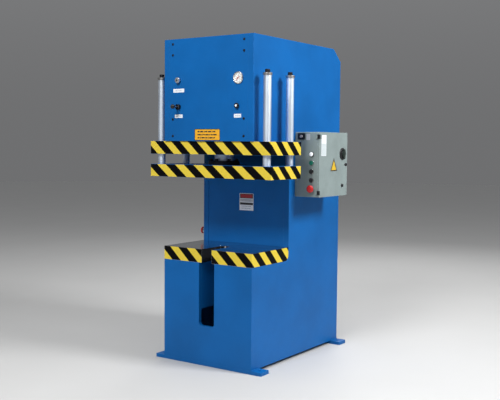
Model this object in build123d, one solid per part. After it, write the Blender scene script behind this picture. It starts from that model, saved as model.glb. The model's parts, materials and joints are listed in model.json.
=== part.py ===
from build123d import *
from math import cos, hypot, isclose, radians, sin
import os

# A free-standing C-frame hydraulic press with a guided platen, in millimetres.
# X runs across the press, Y from front to rear, Z up.
# The origin is on the floor, midway between the four anchor holes.

# Frame
frame_width = 800
frame_depth = 1260
frame_height = 2400
side_plate_thickness = 45
throat_depth = 486
throat_radius = 40
head_bottom = 1652
rear_chamfer_height = 94
rear_chamfer_depth = 117

# Foot bars and their anchor holes
foot_thickness = 25
foot_depth = 105
foot_overhang = 85
foot_corner_radius = 8
anchor_radius = 13
anchor_inset_x = 50
anchor_inset_y = 52

# Table, base front and the ribs under the table
table_height = 863
table_thickness = 100
table_slot_width = 90
base_front_thickness = 30
base_slot_width = 140
base_slot_bottom = 295
base_slot_radius = 25
rib_thickness = 40
rib_depth_below_table = 348
corner_clearance = 2

# Column
throat_plate_thickness = 25
throat_plate_recess = 3
rear_plate_thickness = 12
rear_recess = 6
cover_top = 1040
cover_thickness = 3
cover_screw_rise = 60
cover_screw_radius = 4
louvre_rows = 9
louvre_pitch = 70
louvre_length = 170
louvre_offset = 130
louvre_height = 14
louvre_depth = 5
louvre_skin = 1.5
louvre_top_drop = 120

# Head
head_plate_thickness = 60
top_plate_thickness = 12
panel_thickness = 5
panel_gap = 0.5
panel_screw_inset = 34
rail_edge_distance = 12
rail_thickness = 12
panel_screw_drops = (37, 116)
panel_screw_rises = (37, 160)
panel_screw_length = 16
panel_screw_radius = 5

# Guide plate, moving platen and guide rods
ram_setback = 209
plate_length = 1096
plate_depth = 395
plate_corner_radius = 4
guide_plate_thickness = 97
platen_thickness = 93
platen_rest_gap = 77
rod_radius = 28
rod_spacing_x = 956
rod_spacing_y = 298
rod_top_margin = 20
rod_socket_depth = 60
bushing_wall = 10
collar_radius = 33.5
collar_thickness = 17
rod_screw_radius = 12
rod_screw_bite = 35
guide_screw_radius = 12
guide_screw_bite = 40
guide_screw_sink = 30
guide_screw_pitch = 250
guide_screw_offset = 150

# Cylinder and ram
ram_radius = 70
ram_hole_gap = 8
bore_radius = 130
barrel_wall = 25
barrel_cap_thickness = 35
barrel_headroom = 55
cylinder_flange_radius = 196
cylinder_flange_thickness = 50
cylinder_bolt_circle = 175.5
cylinder_screw_count = 8
cylinder_screw_radius = 10
cylinder_screw_bite = 40
gland_radius = 100
gland_height = 60
piston_thickness = 80
piston_end_gap = 3
ram_flange_radius = 115
ram_flange_thickness = 30
ram_flange_chamfer = 4
ram_bolt_circle = 93
ram_screw_count = 6
ram_screw_radius = 8
ram_screw_bite = 35

# Hydraulic power unit inside the column
tank_depth = 600
tank_height = 430
tank_bottom = 110
tank_wall = 5
tank_rear_gap = 40
filler_radius = 35
filler_height = 50
filler_setback = 90
motor_radius = 130
motor_length = 400
motor_offset = 140
motor_cowl_radius = 18
fin_count = 16
fin_height = 10
fin_root = 6
fin_thickness = 4
fin_lower_margin = 40
fin_upper_margin = 60
adapter_radius = 100
adapter_height = 60
pump_radius = 60
pump_length = 250
valve_block_width = 160
valve_block_depth = 130
valve_block_height = 120
valve_block_offset = 190
valve_coil_radius = 24
valve_coil_length = 70
pipe_radius = 13
pipe_bend_radius = 60
pipe_spacing = 70
port_end_distance = 45

# Controls on the head panel
control_inset = 90
upper_row_rise = 72
lower_row_drop = 123
gauge_offset = 8
gauge_radius = 43
gauge_body_radius = 34
gauge_height = 10
gauge_body_depth = 32
gauge_rim = 5
gauge_bevel = 3
gauge_dial_depth = 7
lens_thickness = 2
lens_setback = 1
needle_length = 31
needle_tail = 11
needle_thickness = 1
needle_hub_radius = 5
needle_arbor_radius = 2
needle_lift = 1.5
needle_tail_half_width = 2.5
needle_tip_half_width = 0.6
needle_rest_angle = 225
bushing_flange_radius = 16
bushing_flange_height = 6
bushing_body_radius = 10
bushing_body_depth = 30
stem_radius = 6
stem_depth = 20
relief_knob_radius = 21
relief_knob_height = 17
relief_knob_flutes = 10
relief_knob_crown = 10
speed_knob_radius = 18
speed_knob_height = 12
speed_knob_flutes = 8
speed_knob_crown = 8
flute_radius = 4
flute_offset = 2.2
lever_boss_radius = 20
lever_boss_height = 22
lever_slot_width = 14
lever_slot_floor = 2
lever_pivot_height = 11
lever_pin_radius = 3
lever_eye_radius = 7
lever_rod_radius = 5
lever_ball_radius = 17
lever_reach = 70

# Palm button on the left side
palm_setback = 510
palm_height = 939
palm_base_radius = 25
palm_base_height = 14
palm_base_floor = 1
palm_travel = 6

# Electrical enclosure on the right side
enclosure_setback = 570
enclosure_length = 437
enclosure_height = 485
enclosure_depth = 207
enclosure_bottom = 1241.5
enclosure_wall = 3
enclosure_lip = 12
enclosure_corner_radius = 8
door_depth = 14
door_skin = 2.5
door_gap = 0.5
hinge_offset_x = 5
hinge_offset_y = 6
hinge_radius = 6
hinge_pin_radius = 3
hinge_height = 31
hinge_middle = 12
hinge_inset = 34
hinge_leaf_thickness = 3
hinge_leaf_width = 30
hinge_leaf_gap = 2
hinge_pad_width = 12

# Devices on the enclosure's control face
device_column = 143
device_pitch = 64.4
stop_rise = 62
bezel_radius = 19
bezel_wall = 2.5
bezel_height = 9
bezel_floor = 1
device_body_radius = 14
device_body_depth = 20
contact_block_size = 30
contact_block_depth = 36
button_rise = 4
button_travel = 4
stop_travel = 6
stop_bezel_height = 12
mushroom_radius = 28
mushroom_height = 15
mushroom_rim = 5
dome_steps = 6
lamp_dome_height = 6
selector_grip_width = 10
selector_grip_height = 12
counter_width = 63
counter_height = 47
counter_depth = 5
counter_column = 54
counter_drop = 32
counter_knob_radius = 11
counter_knob_height = 8
counter_border = 3
counter_body_depth = 50
counter_corner_radius = 4
counter_stem_radius = 3
counter_ridge = 3

# Devices on the enclosure door
disconnect_inset = 78
disconnect_drop = 163
disconnect_radius = 46
disconnect_plate_height = 8
disconnect_bar_length = 80
disconnect_bar_width = 20
disconnect_bar_height = 11
disconnect_hub_radius = 24
disconnect_hub_height = 8
disconnect_bevel = 3
disconnect_shaft_length = 20
latch_inset = 28
latch_drop = 246
lock_inset = 83
lock_rise = 78
latch_radius = 12
latch_height = 6
latch_grip_height = 7
latch_grip_width = 6
latch_shaft_radius = 7
cam_width = 10
cam_thickness = 3
cam_clearance = 2

# Screw heads and small edges, the heads as multiples of the shank's radius
cap_head_radius = 1.5
cap_head_height = 2
cap_socket_radius = 0.9
cap_bevel = 0.2
button_head_radius = 1.8
button_head_height = 1
button_crown_radius = 1.2
button_rim_height = 0.4
edge_bevel = 1
grip_bevel = 2

# Fits
seat_gap = 0.02
running_gap = 0.05
moving_gap = 0.3
hole_gap = 0.2
end_play = 1
hole_end_gap = 5

# Places that several pieces share
front = -frame_depth / 2
rear = frame_depth / 2
side_face = frame_width / 2
inner_face = side_face - side_plate_thickness
table_bottom = table_height - table_thickness
rib_bottom = table_bottom - rib_depth_below_table
throat_face = front + throat_depth
throat_plate_front = throat_face + throat_plate_recess
throat_plate_back = throat_plate_front + throat_plate_thickness
rear_face = rear - rear_recess
ram_y = front + ram_setback
head_floor = head_bottom + head_plate_thickness
guide_plate_bottom = head_bottom - guide_plate_thickness
platen_top = guide_plate_bottom - platen_rest_gap
platen_bottom = platen_top - platen_thickness
bushing_radius = rod_radius + bushing_wall
gland_top = head_floor + gland_height
barrel_top = frame_height - top_plate_thickness - barrel_headroom
barrel_inner_top = barrel_top - barrel_cap_thickness
barrel_radius = bore_radius + barrel_wall
stroke = barrel_inner_top - gland_top - piston_thickness - 2 * piston_end_gap
rod_top = head_bottom + stroke + rod_top_margin
panel_back = front + panel_thickness
control_x = inner_face - control_inset
gauge_x = control_x + gauge_offset
head_middle = (head_bottom + frame_height) / 2
upper_row = head_middle + upper_row_rise
lower_row = head_middle - lower_row_drop
enclosure_front = front + enclosure_setback
enclosure_rear = enclosure_front + enclosure_length
enclosure_top = enclosure_bottom + enclosure_height
door_face_x = side_face + enclosure_depth
door_back_x = door_face_x - door_depth
enclosure_mouth_x = door_back_x - door_gap
hinge_x = door_face_x + hinge_offset_x
hinge_y = enclosure_front - hinge_offset_y
device_x = side_face + device_column
stop_z = enclosure_bottom + stop_rise
counter_x = side_face + counter_column
counter_z = enclosure_top - counter_drop
tank_rear = rear_face - rear_plate_thickness - tank_rear_gap
tank_front = tank_rear - tank_depth
tank_top = tank_bottom + tank_height
tank_middle = (tank_front + tank_rear) / 2


# Small builders

def block(x0, x1, y0, y1, z0, z1):
    """A box between two opposite corners."""
    middle = ((x0 + x1) / 2, (y0 + y1) / 2, (z0 + z1) / 2)
    return Pos(*middle) * Box(x1 - x0, y1 - y0, z1 - z0)


def post(x, y, z0, z1, radius):
    """An upright cylinder from z0 to z1."""
    return Pos(x, y, (z0 + z1) / 2) * Cylinder(radius, z1 - z0)


def disc(z0, z1, radius):
    """An upright cylinder on the local axis."""
    return post(0, 0, z0, z1, radius)


def turned(points):
    """A solid of revolution about the local Z axis, from (radius, height) points."""
    return revolve(Plane.XZ * make_face(Polyline(*points, close=True)), Axis.Z)


def group(solids):
    """Several separate solids kept in one node."""
    return Compound(children=list(solids))


def cap_screw(radius, grip):
    """A socket screw with its seat at local zero, its head above and its shank below."""
    height = radius * cap_head_height
    head = disc(0, height, radius * cap_head_radius)
    head = chamfer(head.faces().sort_by(Axis.Z)[-1].edges(), radius * cap_bevel)
    socket = extrude(RegularPolygon(radius * cap_socket_radius, 6), height / 2)
    return disc(-grip, 0, radius) + head - Pos(0, 0, height / 2) * socket


def button_screw(radius, length):
    """A low round-headed screw with its seat at local zero, its head above and its shank below."""
    return turned([
        (0, -length),
        (radius, -length),
        (radius, 0),
        (radius * button_head_radius, 0),
        (radius * button_head_radius, radius * button_rim_height),
        (radius * button_crown_radius, radius * button_head_height),
        (0, radius * button_head_height),
    ])


def dome(radius, rim, top):
    """Profile points of a dome, from its rim up to the axis."""
    angles = [radians(90 * i / dome_steps) for i in range(dome_steps)]
    return [(radius * cos(a), rim + (top - rim) * sin(a)) for a in angles] + [(0, top)]


def on_head(x, z):
    """A place on the head's front face, with local Z pointing out of it and local Y up."""
    return Location((x, front, z), (90, 0, 0))


def on_control_face(x, z):
    """A place on the enclosure's control face, with local Z pointing out of it and local Y up."""
    return Location((x, enclosure_front, z), (90, 0, 0))


def on_door(y, z):
    """A place on the enclosure door, with local Z pointing out of it and local X down."""
    return Location((door_face_x, y, z), (0, 90, 0))


def on_left_side(y, z):
    """A place on the left side face, with local Z pointing out of it."""
    return Location((-side_face, y, z), (0, -90, 0))


# Frame

def side_plate(side):
    """One C-shaped cheek of the frame, cut out round the throat."""
    points = [
        (front + base_front_thickness, foot_thickness),
        (rear, foot_thickness),
        (rear, frame_height - rear_chamfer_height),
        (rear - rear_chamfer_depth, frame_height),
        (front, frame_height),
        (front, head_bottom),
        (throat_face, head_bottom),
        (throat_face, table_bottom),
        (front + base_front_thickness, table_bottom),
    ]
    outline = make_face(Polyline(*points, close=True))
    inner_corners = [v for v in outline.vertices() if isclose(v.X, throat_face)]
    outline = fillet(inner_corners, throat_radius)
    plate = extrude(Plane.YZ * outline, side_plate_thickness)
    return Pos(inner_face if side > 0 else -side_face, 0, 0) * plate


def foot_bar(end):
    """A flat bar across the floor with an anchor hole at each end."""
    half_length = side_face + foot_overhang
    y0 = front if end < 0 else rear - foot_depth
    bar = block(-half_length, half_length, y0, y0 + foot_depth, 0, foot_thickness)
    bar = fillet(bar.edges().filter_by(Axis.Z), foot_corner_radius)
    anchor_x = half_length - anchor_inset_x
    anchor_y = end * (frame_depth / 2 - anchor_inset_y)
    for x in (-anchor_x, anchor_x):
        bar -= post(x, anchor_y, 0, foot_thickness, anchor_radius)
    return bar


def base_front_plate():
    """The full-width plate under the table, open at the top for the slot."""
    back = front + base_front_thickness
    plate = block(-side_face, side_face, front, back, foot_thickness, table_bottom)
    half_slot = base_slot_width / 2
    slot = block(-half_slot, half_slot, front, back, base_slot_bottom, table_bottom)
    lower_edges = slot.edges().filter_by(Axis.Y).group_by(Axis.Z)[0]
    return plate - fillet(lower_edges, base_slot_radius)


def table_plate():
    """The thick work table, slotted from its front edge to the ram's axis."""
    table = block(-side_face, side_face, front, throat_face, table_bottom, table_height)
    rear_edges = table.edges().filter_by(Axis.X).group_by(Axis.Y)[-1]
    table = fillet(rear_edges.sort_by(Axis.Z)[0], throat_radius + corner_clearance)
    half_slot = table_slot_width / 2
    table -= block(-half_slot, half_slot, front, ram_y, table_bottom, table_height)
    return table - post(0, ram_y, table_bottom, table_height, half_slot)


def table_ribs():
    """Two upright plates that carry the table beside its slot."""
    inner = base_slot_width / 2
    rib_rear = throat_face - throat_radius - corner_clearance
    ribs = []
    for side in (-1, 1):
        x0, x1 = sorted((side * inner, side * (inner + rib_thickness)))
        rib = block(x0, x1, front + base_front_thickness, rib_rear, rib_bottom, table_bottom)
        lower_top = table_bottom - throat_radius
        ribs.append(rib + block(x0, x1, rib_rear, throat_plate_front, rib_bottom, lower_top))
    return group(ribs)


def throat_back_plate():
    """The column's front wall, between the cheeks and a little behind their edges."""
    return block(-inner_face, inner_face, throat_plate_front, throat_plate_back, rib_bottom, head_bottom)


def level_thickness():
    """The rear plate's thickness measured level through its sloping top."""
    slope_length = hypot(rear_chamfer_depth, rear_chamfer_height)
    return rear_plate_thickness * slope_length / rear_chamfer_height


def rear_plate():
    """The column's rear wall above the cover, bent forward at the top along the cheeks' chamfer."""
    bend_z = frame_height - rear_chamfer_height
    slope_top = rear_face - rear_chamfer_depth
    lean = rear_chamfer_height / rear_chamfer_depth
    inner_bend_z = bend_z - (level_thickness() - rear_plate_thickness) * lean
    profile = Polyline(
        (rear_face, cover_top),
        (rear_face, bend_z),
        (slope_top, frame_height),
        (slope_top - level_thickness(), frame_height),
        (rear_face - rear_plate_thickness, inner_bend_z),
        (rear_face - rear_plate_thickness, cover_top),
        close=True,
    )
    return extrude(Plane.YZ * make_face(profile), inner_face, both=True)


def on_rear(x, z):
    """A place on the rear cover's outer face, with local Z pointing out of it."""
    return Location((x, rear_face, z), (-90, 0, 0))


def cover_screw_places():
    """The screws of the rear cover: three up each side."""
    x = inner_face - panel_screw_inset
    z0 = foot_thickness + cover_screw_rise
    z1 = cover_top - cover_screw_rise
    return [(side * x, z) for side in (-1, 1) for z in (z0, (z0 + z1) / 2, z1)]


def louvre_wedge(y, depth, length):
    """A wedge with its upright face at y, deepest at its foot."""
    outline = Polyline((y, 0), (y, louvre_height), (y + depth, 0), close=True)
    return extrude(Plane.YZ * make_face(outline), length / 2, both=True)


def rear_access_cover():
    """A louvred sheet between the cheeks, over the power unit, its hoods open downwards."""
    half_width = inner_face - panel_gap
    inside = rear_face - cover_thickness
    z0 = foot_thickness + panel_gap
    cover = block(-half_width, half_width, inside, rear_face, z0, cover_top - panel_gap)
    hood = louvre_wedge(rear_face, louvre_depth, louvre_length)
    hollow_depth = cover_thickness + louvre_depth - louvre_skin
    hollow = louvre_wedge(inside, hollow_depth, louvre_length - 2 * louvre_skin)
    for x in (-louvre_offset, louvre_offset):
        for row in range(louvre_rows):
            z = cover_top - louvre_top_drop - row * louvre_pitch
            cover += Pos(x, 0, z) * hood
            cover -= Pos(x, 0, z) * hollow
    for x, z in cover_screw_places():
        cover -= on_rear(x, z) * disc(-cover_thickness, 0, cover_screw_radius + hole_gap)
    return cover


def rear_cover_screws():
    """Button-head screws of the rear cover."""
    screw = button_screw(cover_screw_radius, cover_thickness + rail_thickness)
    return group(on_rear(x, z) * screw for x, z in cover_screw_places())


def head_bottom_plate():
    """The thick plate that the cylinder stands on and the guide plate hangs from."""
    plate = block(-inner_face, inner_face, panel_back, throat_plate_back, head_bottom, head_floor)
    plate -= post(0, ram_y, head_bottom, head_floor, gland_radius + hole_gap)
    for x, y in guide_screw_places():
        hole_top = head_bottom + guide_screw_bite + hole_end_gap
        plate -= post(x, y, head_bottom, hole_top, guide_screw_radius + hole_gap)
    for x, y in bolt_places(cylinder_bolt_circle, cylinder_screw_count):
        hole_end = head_floor - cylinder_screw_bite - hole_end_gap
        plate -= post(x, y, hole_end, head_floor, cylinder_screw_radius + hole_gap)
    for x, z in panel_screw_places():
        if z < head_floor:
            plate -= on_head(x, z) * disc(-panel_screw_length, -panel_thickness, panel_screw_radius + hole_gap)
    return plate


def head_top_plate():
    """The lid of the head, from the front panel to the bent rear plate."""
    back = rear_face - rear_chamfer_depth - level_thickness()
    return block(-inner_face, inner_face, panel_back, back, frame_height - top_plate_thickness, frame_height)


def panel_screw_places():
    """Four screws up each side of the head panel, in two pairs."""
    x = inner_face - panel_screw_inset
    heights = [frame_height - drop for drop in panel_screw_drops]
    heights += [head_bottom + rise for rise in panel_screw_rises]
    return [(side * x, z) for side in (-1, 1) for z in heights]


def head_front_panel():
    """The flat cover between the cheeks, with holes for the gauge and the controls."""
    half_width = inner_face - panel_gap
    panel = block(-half_width, half_width, front, panel_back, head_bottom + panel_gap, frame_height)
    for x, z in panel_screw_places():
        panel -= on_head(x, z) * disc(-panel_thickness, 0, panel_screw_radius + hole_gap)
    panel -= on_head(gauge_x, upper_row) * disc(-panel_thickness, 0, gauge_body_radius + hole_gap)
    for x, z in bushing_places() + [(-control_x, lower_row)]:
        panel -= on_head(x, z) * disc(-panel_thickness, 0, bushing_body_radius + hole_gap)
    return panel


def panel_rails():
    """Upright flat bars inside the cheeks that the head panel and the rear cover are screwed to."""
    rail_width = panel_screw_inset + rail_edge_distance
    rail_top = frame_height - top_plate_thickness
    cover_inside = rear_face - cover_thickness
    rails = []
    for side in (-1, 1):
        x0, x1 = sorted((side * inner_face, side * (inner_face - rail_width)))
        rail = block(x0, x1, panel_back, panel_back + rail_thickness, head_floor, rail_top)
        for x, z in panel_screw_places():
            if z > head_floor:
                rail -= on_head(x, z) * disc(-panel_thickness - rail_thickness, 0, panel_screw_radius + hole_gap)
        rails.append(rail)
        rail = block(x0, x1, cover_inside - rail_thickness, cover_inside, foot_thickness, cover_top)
        for x, z in cover_screw_places():
            rail -= on_rear(x, z) * disc(-cover_thickness - rail_thickness, 0, cover_screw_radius + hole_gap)
        rails.append(rail)
    return group(rails)


def panel_screws():
    """Button-head screws of the head panel."""
    screw = button_screw(panel_screw_radius, panel_screw_length)
    return group(on_head(x, z) * screw for x, z in panel_screw_places())


# Guide plate, platen and rods

def rod_places():
    """The axes of the four guide rods, front left, front right, rear left, rear right."""
    half_x = rod_spacing_x / 2
    half_y = rod_spacing_y / 2
    return [(x, ram_y + y) for y in (-half_y, half_y) for x in (-half_x, half_x)]


def bolt_places(radius, count):
    """Places on a bolt circle round the ram, turned by half a pitch."""
    angles = [radians(360 * (i + 0.5) / count) for i in range(count)]
    return [(radius * cos(a), ram_y + radius * sin(a)) for a in angles]


def guide_screw_places():
    """Six screws that hold the guide plate up against the head."""
    columns = (-guide_screw_pitch, 0, guide_screw_pitch)
    rows = (ram_y - guide_screw_offset, ram_y + guide_screw_offset)
    return [(x, y) for x in columns for y in rows]


def wide_plate(bottom, top):
    """The common outline of the guide plate and the platen."""
    half_depth = plate_depth / 2
    plate = block(-plate_length / 2, plate_length / 2, ram_y - half_depth, ram_y + half_depth, bottom, top)
    return fillet(plate.edges().filter_by(Axis.Z), plate_corner_radius)


def upper_guide_plate():
    """The fixed plate under the head, bored for the bushings, the ram and its screws."""
    plate = wide_plate(guide_plate_bottom, head_bottom)
    plate -= post(0, ram_y, guide_plate_bottom, head_bottom, ram_radius + ram_hole_gap)
    for x, y in rod_places():
        plate -= post(x, y, guide_plate_bottom, head_bottom, bushing_radius + seat_gap)
    sink_top = guide_plate_bottom + guide_screw_sink
    sink_radius = guide_screw_radius * cap_head_radius + moving_gap
    for x, y in guide_screw_places():
        plate -= post(x, y, sink_top, head_bottom, guide_screw_radius + hole_gap)
        plate -= post(x, y, guide_plate_bottom, sink_top, sink_radius)
    return plate


def guide_plate_screws():
    """Socket screws sunk in the underside of the guide plate."""
    screw = cap_screw(guide_screw_radius, guide_plate_thickness - guide_screw_sink + guide_screw_bite)
    seat = guide_plate_bottom + guide_screw_sink
    return group(Pos(x, y, seat) * Rot(180, 0, 0) * screw for x, y in guide_screw_places())


def guide_bushings():
    """Bronze sleeves in the guide plate that the rods slide in."""
    sleeves = []
    for x, y in rod_places():
        sleeve = post(x, y, guide_plate_bottom, head_bottom, bushing_radius)
        sleeves.append(sleeve - post(x, y, guide_plate_bottom, head_bottom, rod_radius + running_gap))
    return group(sleeves)


def platen():
    """The moving plate, with a socket for each rod and threaded holes for the ram flange."""
    plate = wide_plate(platen_bottom, platen_top)
    for x, y in rod_places():
        plate -= post(x, y, platen_top - rod_socket_depth, platen_top, rod_radius + seat_gap)
    for x, y in bolt_places(ram_bolt_circle, ram_screw_count):
        hole_end = platen_top - ram_screw_bite - hole_end_gap
        plate -= post(x, y, hole_end, platen_top, ram_screw_radius + hole_gap)
    return plate


def guide_rod(x, y):
    """A chromed rod that stands in the platen and rises through the guide plate."""
    rod = post(x, y, platen_top - rod_socket_depth, rod_top, rod_radius)
    hole_end = rod_top - rod_screw_bite - hole_end_gap
    return rod - post(x, y, hole_end, rod_top, rod_screw_radius + hole_gap)


def rod_collars():
    """The thick washers on the rods' tops."""
    collars = []
    for x, y in rod_places():
        collar = post(x, y, rod_top, rod_top + collar_thickness, collar_radius)
        hole = post(x, y, rod_top, rod_top + collar_thickness, rod_screw_radius + hole_gap)
        collars.append(collar - hole)
    return group(collars)


def collar_screws():
    """Socket screws that hold the collars on the rods."""
    screw = cap_screw(rod_screw_radius, collar_thickness + rod_screw_bite)
    seat = rod_top + collar_thickness
    return group(Pos(x, y, seat) * screw for x, y in rod_places())


# Cylinder and ram

def cylinder_barrel():
    """The closed-top barrel with its mounting flange, standing on the head's bottom plate."""
    barrel = post(0, ram_y, head_floor, barrel_top, barrel_radius)
    flange_top = head_floor + cylinder_flange_thickness
    barrel += post(0, ram_y, head_floor, flange_top, cylinder_flange_radius)
    barrel -= post(0, ram_y, head_floor, barrel_inner_top, bore_radius)
    for x, y in bolt_places(cylinder_bolt_circle, cylinder_screw_count):
        barrel -= post(x, y, head_floor, flange_top, cylinder_screw_radius + hole_gap)
    return barrel


def cylinder_gland():
    """The guide ring at the barrel's mouth, with its spigot down through the head's bottom plate."""
    ring_radius = bore_radius - seat_gap
    bore = ram_radius + running_gap
    profile = [
        (bore, head_bottom),
        (gland_radius, head_bottom),
        (gland_radius, head_floor),
        (ring_radius, head_floor),
        (ring_radius, gland_top),
        (bore, gland_top),
    ]
    return Pos(0, ram_y, 0) * turned(profile)


def cylinder_screws():
    """The screws through the cylinder's flange."""
    screw = cap_screw(cylinder_screw_radius, cylinder_flange_thickness + cylinder_screw_bite)
    seat = head_floor + cylinder_flange_thickness
    places = bolt_places(cylinder_bolt_circle, cylinder_screw_count)
    return group(Pos(x, y, seat) * screw for x, y in places)


def ram():
    """The chromed ram, turned in one piece with its piston."""
    piston_top = barrel_inner_top - piston_end_gap
    piston_bottom = piston_top - piston_thickness
    piston_radius = bore_radius - running_gap
    profile = [
        (0, platen_top),
        (ram_radius, platen_top),
        (ram_radius, piston_bottom),
        (piston_radius, piston_bottom),
        (piston_radius, piston_top),
        (0, piston_top),
    ]
    return Pos(0, ram_y, 0) * turned(profile)


def ram_flange():
    """The ring that clamps the ram's foot to the platen."""
    top = platen_top + ram_flange_thickness
    ring = post(0, ram_y, platen_top, top, ram_flange_radius)
    ring = chamfer(ring.faces().sort_by(Axis.Z)[-1].edges(), ram_flange_chamfer)
    ring -= post(0, ram_y, platen_top, top, ram_radius + seat_gap)
    for x, y in bolt_places(ram_bolt_circle, ram_screw_count):
        ring -= post(x, y, platen_top, top, ram_screw_radius + hole_gap)
    return ring


def ram_flange_screws():
    """The screws through the ram flange into the platen."""
    screw = cap_screw(ram_screw_radius, ram_flange_thickness + ram_screw_bite)
    seat = platen_top + ram_flange_thickness
    return group(Pos(x, y, seat) * screw for x, y in bolt_places(ram_bolt_circle, ram_screw_count))


# Power unit inside the column

def reservoir():
    """The sheet-metal oil tank between the cheeks, with a hole for the pump and a filler neck."""
    tank = block(-inner_face, inner_face, tank_front, tank_rear, tank_bottom, tank_top)
    inside = inner_face - tank_wall
    tank -= block(
        -inside,
        inside,
        tank_front + tank_wall,
        tank_rear - tank_wall,
        tank_bottom + tank_wall,
        tank_top - tank_wall,
    )
    tank -= post(-motor_offset, tank_middle, tank_top - tank_wall, tank_top, pump_radius + hole_gap)
    filler_y = tank_rear - filler_setback
    return tank + post(valve_block_offset, filler_y, tank_top, tank_top + filler_height, filler_radius)


def pump_motor():
    """The upright electric motor on its adapter, with the pump hanging below it in the tank."""
    motor_bottom = tank_top + adapter_height
    motor_top = motor_bottom + motor_length
    unit = disc(motor_bottom, motor_top, motor_radius)
    unit = fillet(unit.faces().sort_by(Axis.Z)[-1].edges(), motor_cowl_radius)
    unit += disc(tank_top, motor_bottom, adapter_radius)
    unit += disc(tank_top - pump_length, tank_top, pump_radius)
    fin = block(
        motor_radius - fin_root,
        motor_radius + fin_height,
        -fin_thickness / 2,
        fin_thickness / 2,
        motor_bottom + fin_lower_margin,
        motor_top - fin_upper_margin,
    )
    for i in range(fin_count):
        unit += Rot(0, 0, 360 * i / fin_count) * fin
    return Pos(-motor_offset, tank_middle, 0) * unit


def valve_block():
    """The manifold on the tank that the two pipes rise from, with a valve coil at its rear."""
    half_width = valve_block_width / 2
    half_depth = valve_block_depth / 2
    top = tank_top + valve_block_height
    body = block(-half_width, half_width, -half_depth, half_depth, tank_top, top)
    coil_z = tank_top + valve_block_height / 2
    coil = Location((0, half_depth, coil_z), (-90, 0, 0)) * disc(0, valve_coil_length, valve_coil_radius)
    return Pos(valve_block_offset, tank_middle, 0) * (body + coil)


def hydraulic_pipe(x, port_z):
    """A steel tube up from the manifold and forward to a port in the barrel's rear."""
    start = tank_top + valve_block_height
    pipe_y = tank_middle
    path = FilletPolyline(
        (x, pipe_y, start),
        (x, pipe_y, port_z),
        (x, ram_y + barrel_reach(x), port_z),
        radius=pipe_bend_radius,
    )
    return sweep(Plane((x, pipe_y, start)) * Circle(pipe_radius), path=path)


def barrel_reach(x):
    """How far behind the ram's axis a pipe at x meets the barrel, at its nearest side."""
    return (barrel_radius ** 2 - (abs(x) - pipe_radius) ** 2) ** 0.5 + seat_gap


def hydraulic_pipes():
    """The pressure pipe to the barrel's upper port and the return pipe to the lower one."""
    upper_port = barrel_inner_top - port_end_distance
    lower_port = head_floor + cylinder_flange_thickness + port_end_distance
    middle = valve_block_offset - pipe_spacing
    return group([
        hydraulic_pipe(middle - pipe_spacing / 2, upper_port),
        hydraulic_pipe(middle + pipe_spacing / 2, lower_port),
    ])


# Controls on the head panel

def bushing_places():
    """Two control bushings: relief knob and speed knob."""
    return [(-control_x, upper_row), (control_x, lower_row)]


def panel_bushings():
    """Flanged sleeves that carry the two knobs' stems, and the forked boss of the lever."""
    depth = panel_thickness + bushing_body_depth
    bore = stem_radius + running_gap
    sleeve = turned([
        (bore, -depth),
        (bushing_body_radius, -depth),
        (bushing_body_radius, 0),
        (bushing_flange_radius, 0),
        (bushing_flange_radius, bushing_flange_height - edge_bevel),
        (bushing_flange_radius - edge_bevel, bushing_flange_height),
        (bore, bushing_flange_height),
    ])
    sleeves = [on_head(x, z) * sleeve for x, z in bushing_places()]
    return group(sleeves + [on_head(-control_x, lower_row) * lever_boss()])


def lever_boss():
    """A round boss, slotted from top to bottom, with the lever's pin across the slot."""
    boss = turned([
        (0, -panel_thickness - bushing_body_depth),
        (bushing_body_radius, -panel_thickness - bushing_body_depth),
        (bushing_body_radius, 0),
        (lever_boss_radius, 0),
        (lever_boss_radius, lever_boss_height - grip_bevel),
        (lever_boss_radius - grip_bevel, lever_boss_height),
        (0, lever_boss_height),
    ])
    half_slot = lever_slot_width / 2
    reach = lever_boss_radius
    boss -= block(-half_slot, half_slot, -reach, reach, lever_slot_floor, lever_boss_height)
    pin = Pos(0, 0, lever_pivot_height) * Rot(0, 90, 0) * Cylinder(lever_pin_radius, 2 * half_slot)
    return boss + pin


def fluted_knob(radius, height, flutes, crown):
    """A round knob with finger flutes and a low crown, on its stem."""
    base = bushing_flange_height + moving_gap
    top = base + height
    shoulder = top - edge_bevel
    knob = turned([
        (0, -stem_depth),
        (stem_radius, -stem_depth),
        (stem_radius, base),
        (radius - grip_bevel, base),
        (radius, base + grip_bevel),
        (radius, shoulder - grip_bevel),
        (radius - grip_bevel, shoulder),
        (crown, shoulder),
        (crown - edge_bevel, top),
        (0, top),
    ])
    flute = post(radius + flute_offset, 0, base, top, flute_radius)
    for i in range(flutes):
        knob -= Rot(0, 0, 360 * i / flutes) * flute
    return knob


def relief_knob():
    """The chromed pressure knob at the panel's upper left."""
    knob = fluted_knob(relief_knob_radius, relief_knob_height, relief_knob_flutes, relief_knob_crown)
    return on_head(-control_x, upper_row) * knob


def speed_knob():
    """The black speed knob below the gauge."""
    knob = fluted_knob(speed_knob_radius, speed_knob_height, speed_knob_flutes, speed_knob_crown)
    return on_head(control_x, lower_row) * knob


def control_lever():
    """A ball-ended lever that tips up and down on its pin."""
    eye_length = lever_slot_width - 2 * moving_gap
    across = Pos(0, 0, lever_pivot_height) * Rot(0, 90, 0)
    lever = across * Cylinder(lever_eye_radius, eye_length)
    lever += disc(lever_pivot_height, lever_reach, lever_rod_radius)
    upper = dome(lever_ball_radius, lever_reach, lever_reach + lever_ball_radius)
    lower = [(r, 2 * lever_reach - z) for r, z in upper]
    lever += turned(lower[::-1] + upper[1:])
    lever -= across * Cylinder(lever_pin_radius + running_gap, eye_length)
    return on_head(-control_x, lower_row) * lever


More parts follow.
